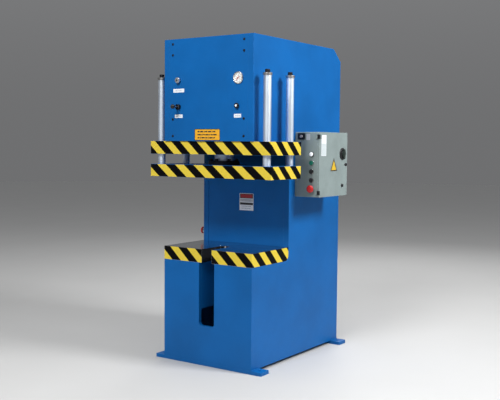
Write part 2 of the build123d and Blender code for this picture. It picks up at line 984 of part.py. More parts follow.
def gauge_case():
    """The pressure gauge's case and bezel, set through the panel, with the dial as its floor."""
    cavity_radius = gauge_radius - gauge_rim
    arbor_hole = needle_arbor_radius + running_gap
    floor = gauge_height - gauge_dial_depth
    body_end = -panel_thickness - gauge_body_depth
    case = turned([
        (arbor_hole, body_end),
        (gauge_body_radius, body_end),
        (gauge_body_radius, 0),
        (gauge_radius, 0),
        (gauge_radius, gauge_height - gauge_bevel),
        (gauge_radius - gauge_bevel, gauge_height),
        (cavity_radius, gauge_height),
        (cavity_radius, floor),
        (arbor_hole, floor),
    ])
    return on_head(gauge_x, upper_row) * case


def gauge_lens():
    """The glass over the dial."""
    top = gauge_height - lens_setback
    lens = disc(top - lens_thickness, top, gauge_radius - gauge_rim - seat_gap)
    return on_head(gauge_x, upper_row) * lens


def gauge_needle():
    """The pointer on its arbor, resting at the dial's zero at the lower left."""
    plane = gauge_height - gauge_dial_depth + needle_lift
    outline = Polyline(
        (-needle_tail, -needle_tail_half_width),
        (needle_length, -needle_tip_half_width),
        (needle_length, needle_tip_half_width),
        (-needle_tail, needle_tail_half_width),
        close=True,
    )
    needle = extrude(Plane.XY.offset(plane) * make_face(outline), needle_thickness)
    needle += disc(plane, plane + needle_thickness, needle_hub_radius)
    needle += disc(-gauge_body_depth / 2, plane, needle_arbor_radius)
    return on_head(gauge_x, upper_row) * Rot(0, 0, needle_rest_angle) * needle


# Mushroom buttons

def mushroom(underside, shaft_end):
    """A domed palm button on its shaft, from its underside up and from the shaft's inner end."""
    head = turned([
        (0, shaft_end),
        (stem_radius, shaft_end),
        (stem_radius, underside),
        (mushroom_radius - grip_bevel, underside),
        (mushroom_radius, underside + grip_bevel),
    ] + dome(mushroom_radius, underside + mushroom_rim, underside + mushroom_height))
    return head


def side_button():
    """The red palm button on the left side of the column."""
    underside = palm_base_height + palm_travel + end_play
    shaft_end = palm_base_floor + palm_travel + end_play
    return on_left_side(front + palm_setback, palm_height) * mushroom(underside, shaft_end)


def side_button_base():
    """The round base of the palm button, on the side face."""
    bore = stem_radius + moving_gap
    return turned([
        (0, 0),
        (palm_base_radius, 0),
        (palm_base_radius, palm_base_height - grip_bevel),
        (palm_base_radius - grip_bevel, palm_base_height),
        (bore, palm_base_height),
        (bore, palm_base_floor),
        (0, palm_base_floor),
    ])


# Electrical enclosure

def device_places():
    """The column of five devices on the control face, from the pilot light down to the stop."""
    return [(device_x, stop_z + i * device_pitch) for i in (4, 3, 2, 1, 0)]


def sheet_box(x0, x1, y0, y1, z0, z1, radius):
    """A box whose four edges along X are rounded."""
    box = block(x0, x1, y0, y1, z0, z1)
    return fillet(box.edges().filter_by(Axis.X), radius)


def enclosure_body():
    """The steel box on the side face, open towards the door, with a lip round its mouth."""
    radius = enclosure_corner_radius
    wall = enclosure_wall
    body = sheet_box(
        side_face, enclosure_mouth_x, enclosure_front, enclosure_rear, enclosure_bottom, enclosure_top, radius
    )
    body -= sheet_box(
        side_face + wall,
        enclosure_mouth_x - wall,
        enclosure_front + wall,
        enclosure_rear - wall,
        enclosure_bottom + wall,
        enclosure_top - wall,
        radius - wall,
    )
    edge = wall + enclosure_lip
    body -= block(
        enclosure_mouth_x - wall,
        enclosure_mouth_x,
        enclosure_front + edge,
        enclosure_rear - edge,
        enclosure_bottom + edge,
        enclosure_top - edge,
    )
    for x, z in device_places():
        body -= on_control_face(x, z) * disc(-wall, 0, device_body_radius + hole_gap)
    width = counter_width - 2 * counter_border + 2 * hole_gap
    height = counter_height - 2 * counter_border + 2 * hole_gap
    body -= on_control_face(counter_x, counter_z) * Pos(0, 0, -wall / 2) * Box(width, height, wall)
    return body


def door_device_places():
    """Disconnect switch, latch and lock on the door: place and hole radius."""
    shaft = latch_shaft_radius + running_gap
    return [
        (enclosure_rear - disconnect_inset, enclosure_top - disconnect_drop, stem_radius + hole_gap),
        (enclosure_rear - latch_inset, enclosure_top - latch_drop, shaft),
        (enclosure_rear - lock_inset, enclosure_bottom + lock_rise, shaft),
    ]


def enclosure_door():
    """The door, a shallow pan whose edges turn back towards the box."""
    radius = enclosure_corner_radius + edge_bevel
    skin = door_skin
    door = sheet_box(
        door_back_x, door_face_x, enclosure_front, enclosure_rear, enclosure_bottom, enclosure_top, radius
    )
    door -= sheet_box(
        door_back_x,
        door_face_x - skin,
        enclosure_front + skin,
        enclosure_rear - skin,
        enclosure_bottom + skin,
        enclosure_top - skin,
        radius - skin,
    )
    for y, z, hole in door_device_places():
        door -= on_door(y, z) * disc(-skin, 0, hole)
    return door


def hinge_heights():
    """The middles of the two hinges."""
    return [enclosure_bottom + hinge_inset, enclosure_top - hinge_inset]


def enclosure_hinges():
    """The fixed halves of the hinges, each with its middle knuckle and pin."""
    half = hinge_middle / 2
    tall = hinge_height / 2
    pad_end = enclosure_mouth_x - enclosure_wall
    pad_start = pad_end - hinge_pad_width
    arm_end = hinge_x - hinge_radius - hinge_leaf_gap
    outer_y = hinge_y - hinge_leaf_thickness
    inner_y = hinge_y + hinge_leaf_thickness
    halves = []
    for z in hinge_heights():
        hinge = post(hinge_x, hinge_y, z - half, z + half, hinge_radius)
        hinge += block(pad_start, hinge_x, outer_y, inner_y, z - half, z + half)
        hinge += block(pad_start, arm_end, outer_y, inner_y, z - tall, z + tall)
        hinge += block(pad_start, pad_end, hinge_y, enclosure_front, z - tall, z + tall)
        hinge += post(hinge_x, hinge_y, z - tall, z + tall, hinge_pin_radius)
        halves.append(hinge)
    return group(halves)


def door_knuckles():
    """The door's halves of the hinges: two knuckles on one leaf each."""
    half = hinge_middle / 2 + moving_gap
    tall = hinge_height / 2
    leaf_start = hinge_y + hinge_radius + hinge_leaf_gap
    leaf_x = door_face_x + hinge_leaf_thickness
    halves = []
    for z in hinge_heights():
        leaf = block(door_face_x, leaf_x, leaf_start, leaf_start + hinge_leaf_width, z - tall, z + tall)
        for z0, z1 in ((z - tall, z - half), (z + half, z + tall)):
            leaf += post(hinge_x, hinge_y, z0, z1, hinge_radius)
            leaf += block(door_face_x, leaf_x, hinge_y, leaf_start, z0, z1)
            leaf -= post(hinge_x, hinge_y, z0, z1, hinge_pin_radius + running_gap)
        halves.append(leaf)
    return group(halves)


def device_body(height, recess):
    """A device's bezel, threaded neck and contact block, bored for the button's stem."""
    neck_end = -enclosure_wall - device_body_depth
    bore = stem_radius + moving_gap
    profile = [
        (bore, neck_end),
        (device_body_radius, neck_end),
        (device_body_radius, 0),
        (bezel_radius, 0),
        (bezel_radius, height - edge_bevel),
        (bezel_radius - edge_bevel, height),
    ]
    if recess:
        profile += [
            (bezel_radius - bezel_wall, height),
            (bezel_radius - bezel_wall, bezel_floor),
            (bore, bezel_floor),
        ]
    else:
        profile += [(bore, height)]
    neck = turned(profile)
    block_middle = neck_end - contact_block_depth / 2
    return neck + Pos(0, 0, block_middle) * Box(contact_block_size, contact_block_size, contact_block_depth)


def control_bezels():
    """The four bezels that buttons move in, and the palm button's base on the left side."""
    solids = []
    for place in device_places()[1:4]:
        solids.append(on_control_face(*place) * device_body(bezel_height, True))
    solids.append(on_control_face(*device_places()[4]) * device_body(stop_bezel_height, False))
    solids.append(on_left_side(front + palm_setback, palm_height) * side_button_base())
    return group(solids)


def pilot_light():
    """The sealed white lamp at the top of the column, with its bezel and neck."""
    neck_end = -enclosure_wall - device_body_depth
    lamp = turned([
        (0, neck_end),
        (device_body_radius, neck_end),
        (device_body_radius, 0),
        (bezel_radius, 0),
        (bezel_radius, bezel_height - edge_bevel),
        (bezel_radius - edge_bevel, bezel_height),
    ] + dome(bezel_radius - bezel_wall, bezel_height, bezel_height + lamp_dome_height))
    return on_control_face(*device_places()[0]) * lamp


def button_base():
    """The height of a moving cap's underside in its bezel at rest."""
    return bezel_floor + button_travel + end_play


def start_button():
    """The green push button."""
    cap_radius = bezel_radius - bezel_wall - moving_gap
    top = bezel_height + button_rise
    button = turned([
        (0, -device_body_depth / 2),
        (stem_radius, -device_body_depth / 2),
        (stem_radius, button_base()),
        (cap_radius, button_base()),
        (cap_radius, top - edge_bevel),
        (cap_radius - edge_bevel, top),
        (0, top),
    ])
    return on_control_face(*device_places()[1]) * button


def selector(place):
    """A black selector switch: a round cap with a grip across it."""
    cap_radius = bezel_radius - bezel_wall - moving_gap
    knob = turned([
        (0, -device_body_depth / 2),
        (stem_radius, -device_body_depth / 2),
        (stem_radius, bezel_floor + moving_gap),
        (cap_radius, bezel_floor + moving_gap),
        (cap_radius, bezel_height),
        (0, bezel_height),
    ])
    grip = extrude(SlotOverall(2 * cap_radius - edge_bevel, selector_grip_width), selector_grip_height)
    grip = chamfer(grip.faces().sort_by(Axis.Z)[-1].edges(), edge_bevel)
    return on_control_face(*place) * (knob + Rot(0, 0, 90) * Pos(0, 0, bezel_height) * grip)


def stop_button():
    """The red mushroom at the foot of the column."""
    underside = stop_bezel_height + stop_travel + end_play
    return on_control_face(*device_places()[4]) * mushroom(underside, -device_body_depth / 2)


def counter_housing():
    """The black square device at the top of the control face."""
    body_width = counter_width - 2 * counter_border
    body_height = counter_height - 2 * counter_border
    front_plate = Pos(0, 0, counter_depth / 2) * Box(counter_width, counter_height, counter_depth)
    front_plate = fillet(front_plate.edges().filter_by(Axis.Z), counter_corner_radius)
    depth = counter_body_depth + enclosure_wall
    housing = front_plate + Pos(0, 0, -depth / 2) * Box(body_width, body_height, depth)
    housing -= disc(-stem_depth, counter_depth, counter_stem_radius + moving_gap)
    return on_control_face(counter_x, counter_z) * housing


def counter_knob():
    """The grey knob in the middle of the black square."""
    base = counter_depth + moving_gap
    top = base + counter_knob_height
    stem_end = -stem_depth + end_play
    knob = turned([
        (0, stem_end),
        (counter_stem_radius, stem_end),
        (counter_stem_radius, base),
        (counter_knob_radius, base),
        (counter_knob_radius, top - edge_bevel),
        (counter_knob_radius - edge_bevel, top),
        (0, top),
    ])
    ridge_length = 2 * (counter_knob_radius - counter_ridge)
    ridge = Pos(0, 0, top + counter_ridge / 4) * Box(ridge_length, counter_ridge, counter_ridge / 2)
    return on_control_face(counter_x, counter_z) * (knob + ridge)


# Devices on the door

def disconnect_plate():
    """The round black shield under the disconnect handle."""
    y, z, hole = door_device_places()[0]
    plate = disc(0, disconnect_plate_height, disconnect_radius)
    plate = chamfer(plate.faces().sort_by(Axis.Z)[-1].edges(), disconnect_bevel)
    return on_door(y, z) * (plate - disc(0, disconnect_plate_height, hole))


def disconnect_handle():
    """The bar handle of the main disconnect, upright at rest, on its shaft through the door."""
    y, z, _ = door_device_places()[0]
    base = disconnect_plate_height + moving_gap
    bar_base = base + disconnect_hub_height / 2
    handle = disc(base, base + disconnect_hub_height, disconnect_hub_radius)
    handle += disc(-disconnect_shaft_length, base, stem_radius)
    bar = extrude(SlotOverall(disconnect_bar_length, disconnect_bar_width), disconnect_bar_height)
    bar = chamfer(bar.faces().sort_by(Axis.Z)[-1].edges(), disconnect_bevel)
    return on_door(y, z) * (handle + Pos(0, 0, bar_base) * bar)


def quarter_turn(place, edge_distance):
    """A round fastener with a grip across it and a cam behind the door, turned up out of the way."""
    y, z, _ = place
    cam_top = -door_depth - door_gap - enclosure_wall - cam_clearance
    cam_length = edge_distance - enclosure_wall - enclosure_lip / 2
    fastener = turned([
        (0, cam_top - cam_thickness),
        (latch_shaft_radius, cam_top - cam_thickness),
        (latch_shaft_radius, 0),
        (latch_radius, 0),
        (latch_radius, latch_height - grip_bevel),
        (latch_radius - grip_bevel, latch_height),
        (0, latch_height),
    ])
    grip_length = 2 * (latch_radius - grip_bevel)
    grip_middle = latch_height + latch_grip_height / 2
    grip = Pos(0, 0, grip_middle) * Box(grip_length, latch_grip_width, latch_grip_height)
    cam = block(-cam_length, 0, -cam_width / 2, cam_width / 2, cam_top - cam_thickness, cam_top)
    return on_door(y, z) * (fastener + grip + cam)


def save(node, shape):
    """Writes one node's solids to its own file."""
    export_step(shape, f"parts/{node}.step")


def main():
    os.makedirs("parts", exist_ok=True)

    save("side_plate_left", side_plate(-1))
    save("side_plate_right", side_plate(1))
    save("front_foot_bar", foot_bar(-1))
    save("rear_foot_bar", foot_bar(1))
    save("base_front_plate", base_front_plate())
    save("table_plate", table_plate())
    save("table_ribs", table_ribs())
    save("throat_back_plate", throat_back_plate())
    save("rear_plate", rear_plate())
    save("rear_access_cover", rear_access_cover())
    save("rear_cover_screws", rear_cover_screws())
    save("head_bottom_plate", head_bottom_plate())
    save("head_top_plate", head_top_plate())
    save("head_front_panel", head_front_panel())
    save("panel_rails", panel_rails())
    save("panel_screws", panel_screws())

    save("upper_guide_plate", upper_guide_plate())
    save("guide_plate_screws", guide_plate_screws())
    save("guide_bushings", guide_bushings())
    save("platen", platen())
    names = ("front_left", "front_right", "rear_left", "rear_right")
    for name, place in zip(names, rod_places()):
        save(f"guide_rod_{name}", guide_rod(*place))
    save("rod_collars", rod_collars())
    save("collar_screws", collar_screws())

    save("cylinder_barrel", cylinder_barrel())
    save("cylinder_gland", cylinder_gland())
    save("cylinder_screws", cylinder_screws())
    save("ram", ram())
    save("ram_flange", ram_flange())
    save("ram_flange_screws", ram_flange_screws())

    save("reservoir", reservoir())
    save("pump_motor", pump_motor())
    save("valve_block", valve_block())
    save("hydraulic_pipes", hydraulic_pipes())

    save("panel_bushings", panel_bushings())
    save("relief_knob", relief_knob())
    save("speed_knob", speed_knob())
    save("control_lever", control_lever())
    save("gauge_case", gauge_case())
    save("gauge_lens", gauge_lens())
    save("gauge_needle", gauge_needle())
    save("side_button", side_button())

    save("enclosure_body", enclosure_body())
    save("enclosure_door", enclosure_door())
    save("enclosure_hinges", enclosure_hinges())
    save("door_knuckles", door_knuckles())
    save("control_bezels", control_bezels())
    save("pilot_light", pilot_light())
    save("start_button", start_button())
    save("selector_upper", selector(device_places()[2]))
    save("selector_lower", selector(device_places()[3]))
    save("stop_button", stop_button())
    save("counter_housing", counter_housing())
    save("counter_knob", counter_knob())
    save("disconnect_plate", disconnect_plate())
    save("disconnect_handle", disconnect_handle())
    save("door_latch", quarter_turn(door_device_places()[1], latch_inset))
    save("door_lock", quarter_turn(door_device_places()[2], lock_inset))


main()
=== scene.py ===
# The looks of a C-frame hydraulic press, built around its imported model.
# Lengths are in metres. X runs across the press, Y from front to rear, Z up.
import json
import math

import bmesh
import bpy
from mathutils import Matrix, Vector


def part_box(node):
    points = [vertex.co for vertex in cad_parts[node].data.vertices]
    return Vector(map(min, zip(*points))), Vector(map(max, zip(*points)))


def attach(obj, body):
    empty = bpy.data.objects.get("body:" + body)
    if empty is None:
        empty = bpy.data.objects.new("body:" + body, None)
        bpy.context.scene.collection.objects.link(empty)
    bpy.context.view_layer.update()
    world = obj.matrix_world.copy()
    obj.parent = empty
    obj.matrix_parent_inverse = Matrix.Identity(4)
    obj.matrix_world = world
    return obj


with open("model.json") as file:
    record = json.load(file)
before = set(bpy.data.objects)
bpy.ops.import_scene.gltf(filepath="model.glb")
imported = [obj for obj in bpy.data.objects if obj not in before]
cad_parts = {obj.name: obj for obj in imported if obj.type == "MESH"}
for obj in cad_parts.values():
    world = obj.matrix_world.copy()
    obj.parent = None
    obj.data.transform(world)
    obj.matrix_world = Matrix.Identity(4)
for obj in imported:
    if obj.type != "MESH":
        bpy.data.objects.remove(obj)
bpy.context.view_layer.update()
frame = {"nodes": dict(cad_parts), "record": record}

# Camera, as fitted to the photograph
camera_place = Vector((3.67346, -5.43589, 1.63134))
camera_yaw = math.radians(34.4233)
camera_pitch = math.radians(-3.8177)
camera_roll = math.radians(0.4556)
camera_lens = 60.018
sensor_width = 36

# Colours of the paints and plastics, linear
press_blue = (0.002, 0.108, 0.36)
# Lighter blue of the scuffs, and of the edges' wear and painted highlight
wear_and_highlight_blue = (0.035, 0.17, 0.46)
enclosure_grey = (0.215, 0.265, 0.262)
tank_grey = (0.12, 0.13, 0.14)
# Lighter grey of the scuffs, and of the edges' wear and painted highlight
wear_and_highlight_tank_grey = (0.25, 0.26, 0.27)
motor_grey = (0.08, 0.09, 0.11)
casting_grey = (0.09, 0.10, 0.11)
device_black = (0.015, 0.015, 0.017)
knob_black = (0.012, 0.012, 0.014)
worn_knob_black = (0.03, 0.03, 0.034)
worn_hinge_black = (0.05, 0.05, 0.055)
ring_black = (0.02, 0.02, 0.022)
foam_black = (0.03, 0.03, 0.032)
handle_grey = (0.022, 0.032, 0.028)
counter_grey = (0.33, 0.31, 0.34)
button_red = (0.56, 0.024, 0.026)
button_green = (0.012, 0.17, 0.11)
needle_red = (0.55, 0.03, 0.02)
cap_white = (0.85, 0.86, 0.88)
lamp_white = (0.95, 0.96, 0.97)
lamp_shade = (0.88, 0.90, 0.92)
glass_tint = (0.97, 0.985, 0.98)

# Colours of the bare and plated metals
table_tint = (0.54, 0.56, 0.58)
# Painted shade for the long sides of the table's slot
painted_slot_shade = (0.012, 0.013, 0.015)
rod_tint = (0.80, 0.89, 1.0)
collar_tint = (0.50, 0.49, 0.48)
oxide_tint = (0.035, 0.035, 0.04)
bronze_tint = (0.62, 0.42, 0.20)
tube_tint = (0.50, 0.51, 0.52)
gauge_tint = (0.70, 0.70, 0.69)
nickel_tint = (0.42, 0.42, 0.43)
knob_tint = (0.90, 0.92, 0.95)
lever_tint = (0.72, 0.72, 0.73)

# Colours of the tape and the labels
tape_yellow = (0.665, 0.51, 0.054)
tape_black = (0.002, 0.002, 0.0025)
label_white = (0.80, 0.83, 0.88)
label_print = (0.30, 0.33, 0.42)
label_orange = (0.80, 0.40, 0.02)
label_red = (0.38, 0.02, 0.03)
label_black = (0.02, 0.02, 0.025)
label_grey = (0.48, 0.50, 0.52)
label_pale = (0.56, 0.62, 0.64)
triangle_yellow = (0.66, 0.43, 0.03)
dial_white = (0.90, 0.89, 0.87)

# Noise: the range that it mostly keeps to
noise_low = 0.3
noise_high = 0.7

# Edges: the radii that they are rounded by, and how a flat and a fully worn place face
powder_edge = 0.002
steel_edge = 0.001
plating_edge = 0.0008
knob_edge = 0.0008
lever_edge = 0.0006
bevel_samples = 6
flat_facing = 1.0
worn_facing = 0.85

# Bare steel: wipe marks along the rods, the table's ground lines, and how the faces that get painted shade,
# its slot's long sides among them, face
wipe_marks = (60.0, 60.0, 1.6)
table_roughness = 0.16
table_lines = (1.5, 260.0, 260.0)
across_face = 0.95

# Controls: the lens of the pilot light, the lever's ball and eye, the knobs' centres
lens_depth = 0.0059
lens_blur = 0.0001
ball_share = 0.97
lever_eye_depth = 0.020
relief_hole_depth = 0.003
relief_hole_radius = 0.006
speed_cap_depth = 0.002
speed_cap_radius = 0.0085
cap_roughness = 0.32

# Hinges: where their black part starts across and ends along the box
black_start_x = 0.001
black_end_y = 0.008

# Hazard tape: the pitch, first place and lean of each band's stripes, and their stretch along the sides
tape_thickness = 0.0004
tape_margin = 0.001
tape_yellow_share = 0.48
stripe_blur = 0.003
stripe_wobble = 0.004
upper_stripes = {"pitch": 0.158, "first": 0.162, "lean": 1.10, "side_stretch": 1.06}
lower_stripes = {"pitch": 0.1746, "first": 0.107, "lean": 1.22, "side_stretch": 1.14}
table_pitch = 0.160
table_left_first = 0.095
table_right_first = -0.029
table_lean = 1.05
table_side_stretch = 1.067
plate_corner_radius = 0.004
table_end_radius = 0.042
table_end_steps = 8
slot_half_width = 0.045
sharpest_mitre = 0.3
corner_steps = 5

# Labels: films, and the print laid on them
film_thickness = 0.0004
print_thickness = 0.0001
label_corner = 0.003
counter_plate_corner = 0.002
notice_corner = 0.004
field_corner_share = 0.05
bar_half_height = 0.0022
bar_length_share = 3.2
bar_mean_share = 1.2
bar_swing_share = 0.8
bar_step_turn = 2.1
bar_row_turn = 1.7
bar_gap_share = 0.35

# Small labels on the head: each one's control, its shift across and drop from it, its width and height
small_labels = {
    "relief_label": ("relief_knob", 0.0, 0.0755, 0.103, 0.027),
    "lever_label": ("control_lever", 0.0, 0.068, 0.073, 0.025),
    "speed_label": ("speed_knob", 0.0025, 0.071, 0.061, 0.026),
}
small_print_share = 0.7

# Orange label at the head's foot
guard_rise = 0.046
guard_width = 0.230
guard_height = 0.083
guard_border = 0.004
guard_print_width = 0.175
guard_print_pitch = 0.022
guard_print_half_height = 0.0048

# Notice in the throat: its place above the table, and its fields from the top down
notice_shift = 0.012
notice_rise = 0.324
notice_width = 0.130
notice_height = 0.132
notice_field_width = 0.122
heading_y = 0.045
heading_height = 0.036
heading_red_width = 0.108
heading_red_height = 0.026
grey_field_y = 0.012
grey_field_height = 0.022
grey_print_width = 0.090
grey_print_pitch = 0.010
black_field_y = -0.014
black_field_height = 0.018
foot_print_y = -0.042
foot_print_width = 0.095
foot_print_pitch = 0.016

# Enclosure: the plate beside the counter, and the label and the triangle on the door
counter_plate_shift = 0.0565
counter_plate_drop = 0.0045
counter_plate_width = 0.033
counter_plate_height = 0.046
door_label_setback = 0.067
door_label_drop = 0.099
door_label_width = 0.074
door_label_height = 0.155
door_foot_y = -0.030
door_foot_width = 0.068
door_foot_height = 0.088
triangle_setback = 0.224
triangle_drop = 0.243
triangle_height = 0.100
triangle_half_width = 0.052
triangle_inner_share = 0.74
triangle_inner_lift = 0.075

# Pressure gauge
dial_radius = 0.0375
dial_hole = 0.0026
dial_step = 6
dial_depth = 0.003
dial_lift = 0.0002
dial_print_lift = 0.0003
dial_start = 225
dial_sweep = 270
tick_count = 30
ticks_per_long = 5
tick_radius = 0.0355
long_tick = (0.006, 0.0012)
short_tick = (0.0035, 0.0006)
last_number = 6
number_radius = 0.0255
number_size = 0.0085
number_resolution = 3

# Welds
weld_ripple = 0.006
weld_steps_per_ripple = 3
weld_swell = 0.16
weld_wander = 0.05
weld_wander_step = 0.9
weld_sides = 5
weld_end = 0.004
foot_weld = 0.006
rear_weld = 0.005
rear_weld_drop = 0.11

# Inside the enclosure
seal_gap = 0.001
seal_margin = 0.008
seal_band = 0.009
seal_depth = 0.0105
seal_corner = 0.008
mounting_gap = 0.003
mounting_margin = 0.060
mounting_corner = 0.006
mounting_low = 0.0002
mounting_high = 0.0018

# Studio
floor_pale = (0.50, 0.50, 0.495)
floor_radius = 30
floor_corners = 96
sky_colour = (0.93, 0.94, 0.96)
horizon_glow = 0.17
sky_glow = 0.32
sky_fade_end = 0.55

# Places taken from the frame
head_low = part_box("head_front_panel")[0]
table_low, table_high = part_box("table_plate")
body_low, body_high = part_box("enclosure_body")
door_low, door_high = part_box("enclosure_door")


def middle(node):
    """The middle of a node's box."""
    low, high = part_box(node)
    return (low + high) / 2


def shaded(colour, by, lift=0.0):
    """A colour made darker or lighter, and no lighter than white."""
    return tuple(min(1.0, c * by + lift) for c in colour)


def opaque(colour):
    """A colour as a socket takes it, or the socket that it comes from."""
    if isinstance(colour, bpy.types.NodeSocket):
        return colour
    return (*colour, 1.0)


def feed(tree, socket, value):
    """Links a socket to the one that its value comes from, or sets its value."""
    if isinstance(value, bpy.types.NodeSocket):
        tree.links.new(value, socket)
    else:
        socket.default_value = value


def add_node(tree, kind, inputs=(), **settings):
    """A shader node with its settings made and its inputs set or linked."""
    made = tree.nodes.new("ShaderNode" + kind)
    for key, value in settings.items():
        setattr(made, key, value)
    for key, value in dict(inputs).items():
        feed(tree, made.inputs[key], value)
    return made


class Graph:
    """A material's node tree, built by short calls."""

    # The colour sockets of a mix node
    mix_from = 6
    mix_to = 7
    mix_result = 2

    def __init__(self, name):
        self.material = bpy.data.materials.new(name)
        self.material.use_nodes = True
        self.tree = self.material.node_tree
        self.shader = self.tree.nodes["Principled BSDF"]
        self.place = self.node("TexCoord").outputs["Object"]

    def node(self, kind, inputs=(), **settings):
        return add_node(self.tree, kind, inputs, **settings)

    def set(self, **values):
        """Sets or links the shader's own inputs, by name with _ for a space."""
        for key, value in values.items():
            feed(self.tree, self.shader.inputs[key.replace("_", " ")], value)

    def axes(self):
        """The object's own X, Y and Z."""
        return self.node("SeparateXYZ", {0: self.place}).outputs

    def stretched(self, scale):
        """The object's own coordinates, scaled along each axis."""
        return self.node("Mapping", {"Vector": self.place, "Scale": scale}).outputs["Vector"]

    def noise(self, scale, detail=3.0, roughness=0.55, place=None):
        """Noise that mostly keeps to its usual range, with this many bumps to the metre."""
        inputs = {"Vector": place or self.place, "Scale": scale, "Detail": detail, "Roughness": roughness}
        return self.node("TexNoise", inputs).outputs["Fac"]

    def fit(self, value, low, high, to_low, to_high):
        """A value moved from one range to another and held inside it."""
        inputs = {"Value": value, "From Min": low, "From Max": high, "To Min": to_low, "To Max": to_high}
        return self.node("MapRange", inputs).outputs["Result"]

    def varied(self, noise, low, high):
        """A noise's usual range, spread from low to high."""
        return self.fit(noise, noise_low, noise_high, low, high)

    def patches(self, scale, detail=3.0, roughness=0.55, start=noise_low, full=noise_high, strength=1.0):
        """Patches that begin where the noise passes start and have their strength where it passes full."""
        return self.fit(self.noise(scale, detail, roughness), start, full, 0.0, strength)

    def calculate(self, operation, a, b=0.0):
        return self.node("Math", {0: a, 1: b}, operation=operation).outputs["Value"]

    def mix(self, factor, a, b):
        """A colour between a and b."""
        inputs = {0: factor, self.mix_from: opaque(a), self.mix_to: opaque(b)}
        return self.node("Mix", inputs, data_type="RGBA").outputs[self.mix_result]

    def rounded(self, radius):
        """Normals that round every sharp edge by this radius."""
        return self.node("Bevel", {"Radius": radius}, samples=bevel_samples).outputs["Normal"]

    def bump(self, height, distance, strength, normal=None):
        inputs = {"Height": height, "Distance": distance, "Strength": strength}
        if normal is not None:
            inputs["Normal"] = normal
        return self.node("Bump", inputs).outputs["Normal"]

    def edges(self, radius, start, full):
        """About 1 along sharp outer edges and 0 elsewhere, broken up by noise."""
        true_normal = self.node("NewGeometry").outputs["Normal"]
        inputs = {0: self.rounded(radius), 1: true_normal}
        facing = self.node("VectorMath", inputs, operation="DOT_PRODUCT").outputs["Value"]
        edge = self.fit(facing, flat_facing, worn_facing, 0.0, 1.0)
        breaks = self.patches(scale=60.0, detail=5.0, roughness=0.7, start=start, full=full)
        return self.calculate("MULTIPLY", edge, breaks)


def machine_enamel(name, colour, wear_and_highlight, edge_radius=0.0025):
    """Sprayed enamel on steel plate: soft orange peel, faint clouding, lighter scuffs, and lighter broken
    edges that are rubbed wear and a painted highlight.
    """
    graph = Graph(name)
    clouds = graph.patches(scale=2.6, detail=4.0, start=0.35, full=0.65)
    body = graph.mix(clouds, shaded(colour, by=0.84), colour)
    scuffs = graph.patches(scale=38.0, detail=6.0, roughness=0.72, start=0.60, full=0.72, strength=0.22)
    body = graph.mix(scuffs, body, wear_and_highlight)
    # Painted highlight: the broken edges are lighter, together with rubbed wear.
    body = graph.mix(graph.edges(edge_radius, start=0.40, full=0.62), body, wear_and_highlight)
    gloss = graph.varied(graph.noise(scale=9.0, detail=5.0), low=0.42, high=0.47)
    peel = graph.noise(scale=420.0, detail=2.0)
    graph.set(Base_Color=body, Roughness=gloss, Specular_IOR_Level=0.2)
    graph.set(Normal=graph.bump(peel, distance=0.0006, strength=0.22, normal=graph.rounded(edge_radius)))
    return graph.material


def powder_coat(name, colour, grain_scale=900.0, grain_depth=0.0005):
    """Fine-textured powder coat on sheet metal, or a coarser one on castings, with lighter broken edges that
    are rubbed wear and a painted highlight.
    """
    graph = Graph(name)
    clouds = graph.patches(scale=7.0, detail=4.0, start=0.35, full=0.65)
    body = graph.mix(clouds, shaded(colour, by=0.90), shaded(colour, by=1.05))
    # Painted highlight: edges much lighter than the coat, broken up like rubbed wear.
    rubbed = graph.edges(powder_edge, start=0.42, full=0.66)
    body = graph.mix(rubbed, body, shaded(colour, by=2.3))
    gloss = graph.varied(graph.noise(scale=40.0, detail=3.0), low=0.46, high=0.60)
    grain = graph.noise(grain_scale, detail=3.0, roughness=0.6)
    graph.set(Base_Color=body, Roughness=gloss)
    graph.set(Normal=graph.bump(grain, grain_depth, strength=0.35, normal=graph.rounded(powder_edge)))
    return graph.material


def rod_plating(name, tint, roughness):
    """Ground hard chrome on a long rod: a satin sheen with faint wipe marks along it."""
    graph = Graph(name)
    wipes = graph.noise(1.0, detail=3.0, roughness=0.5, place=graph.stretched(wipe_marks))
    oil = graph.patches(scale=5.0, detail=4.0, start=0.4, full=0.7)
    graph.set(Base_Color=graph.mix(oil, tint, shaded(tint, by=0.93)), Metallic=1.0)
    graph.set(Roughness=graph.varied(wipes, low=roughness * 0.85, high=roughness * 1.2))
    return graph.material


def bright_plating(name, tint, roughness, lines):
    """Polished bright plating with very faint lines, as many to the metre along each axis as given."""
    graph = Graph(name)
    grooves = graph.noise(1.0, detail=2.0, roughness=0.5, place=graph.stretched(lines))
    stain = graph.patches(scale=14.0, detail=4.0, start=0.4, full=0.7)
    gloss = graph.varied(grooves, low=roughness * 0.7, high=roughness * 1.5)
    rounded = graph.rounded(plating_edge)
    graph.set(Base_Color=graph.mix(stain, tint, shaded(tint, by=0.90)), Metallic=1.0, Roughness=gloss)
    graph.set(Normal=graph.bump(grooves, distance=0.00005, strength=0.12, normal=rounded))
    return graph.material


def steel_graph(name, tint, roughness, lines):
    """Bare steel with fine lines and light handling stains: its graph, and its colour in it."""
    graph = Graph(name)
    grooves = graph.noise(1.0, detail=4.0, roughness=0.6, place=graph.stretched(lines))
    stain = graph.patches(scale=11.0, detail=6.0, roughness=0.65, start=0.42, full=0.70)
    body = graph.mix(stain, tint, shaded(tint, by=0.72))
    body = graph.mix(graph.varied(grooves, low=0.0, high=0.25), body, shaded(tint, by=1.3))
    gloss = graph.fit(grooves, low=0.25, high=0.75, to_low=roughness * 0.75, to_high=roughness * 1.35)
    graph.set(Base_Color=body, Metallic=1.0, Roughness=gloss)
    graph.set(Normal=graph.bump(grooves, distance=0.0001, strength=0.2, normal=graph.rounded(steel_edge)))
    return graph, body


def ground_steel(name, tint, roughness, lines):
    graph = steel_graph(name, tint, roughness, lines)[0]
    return graph.material


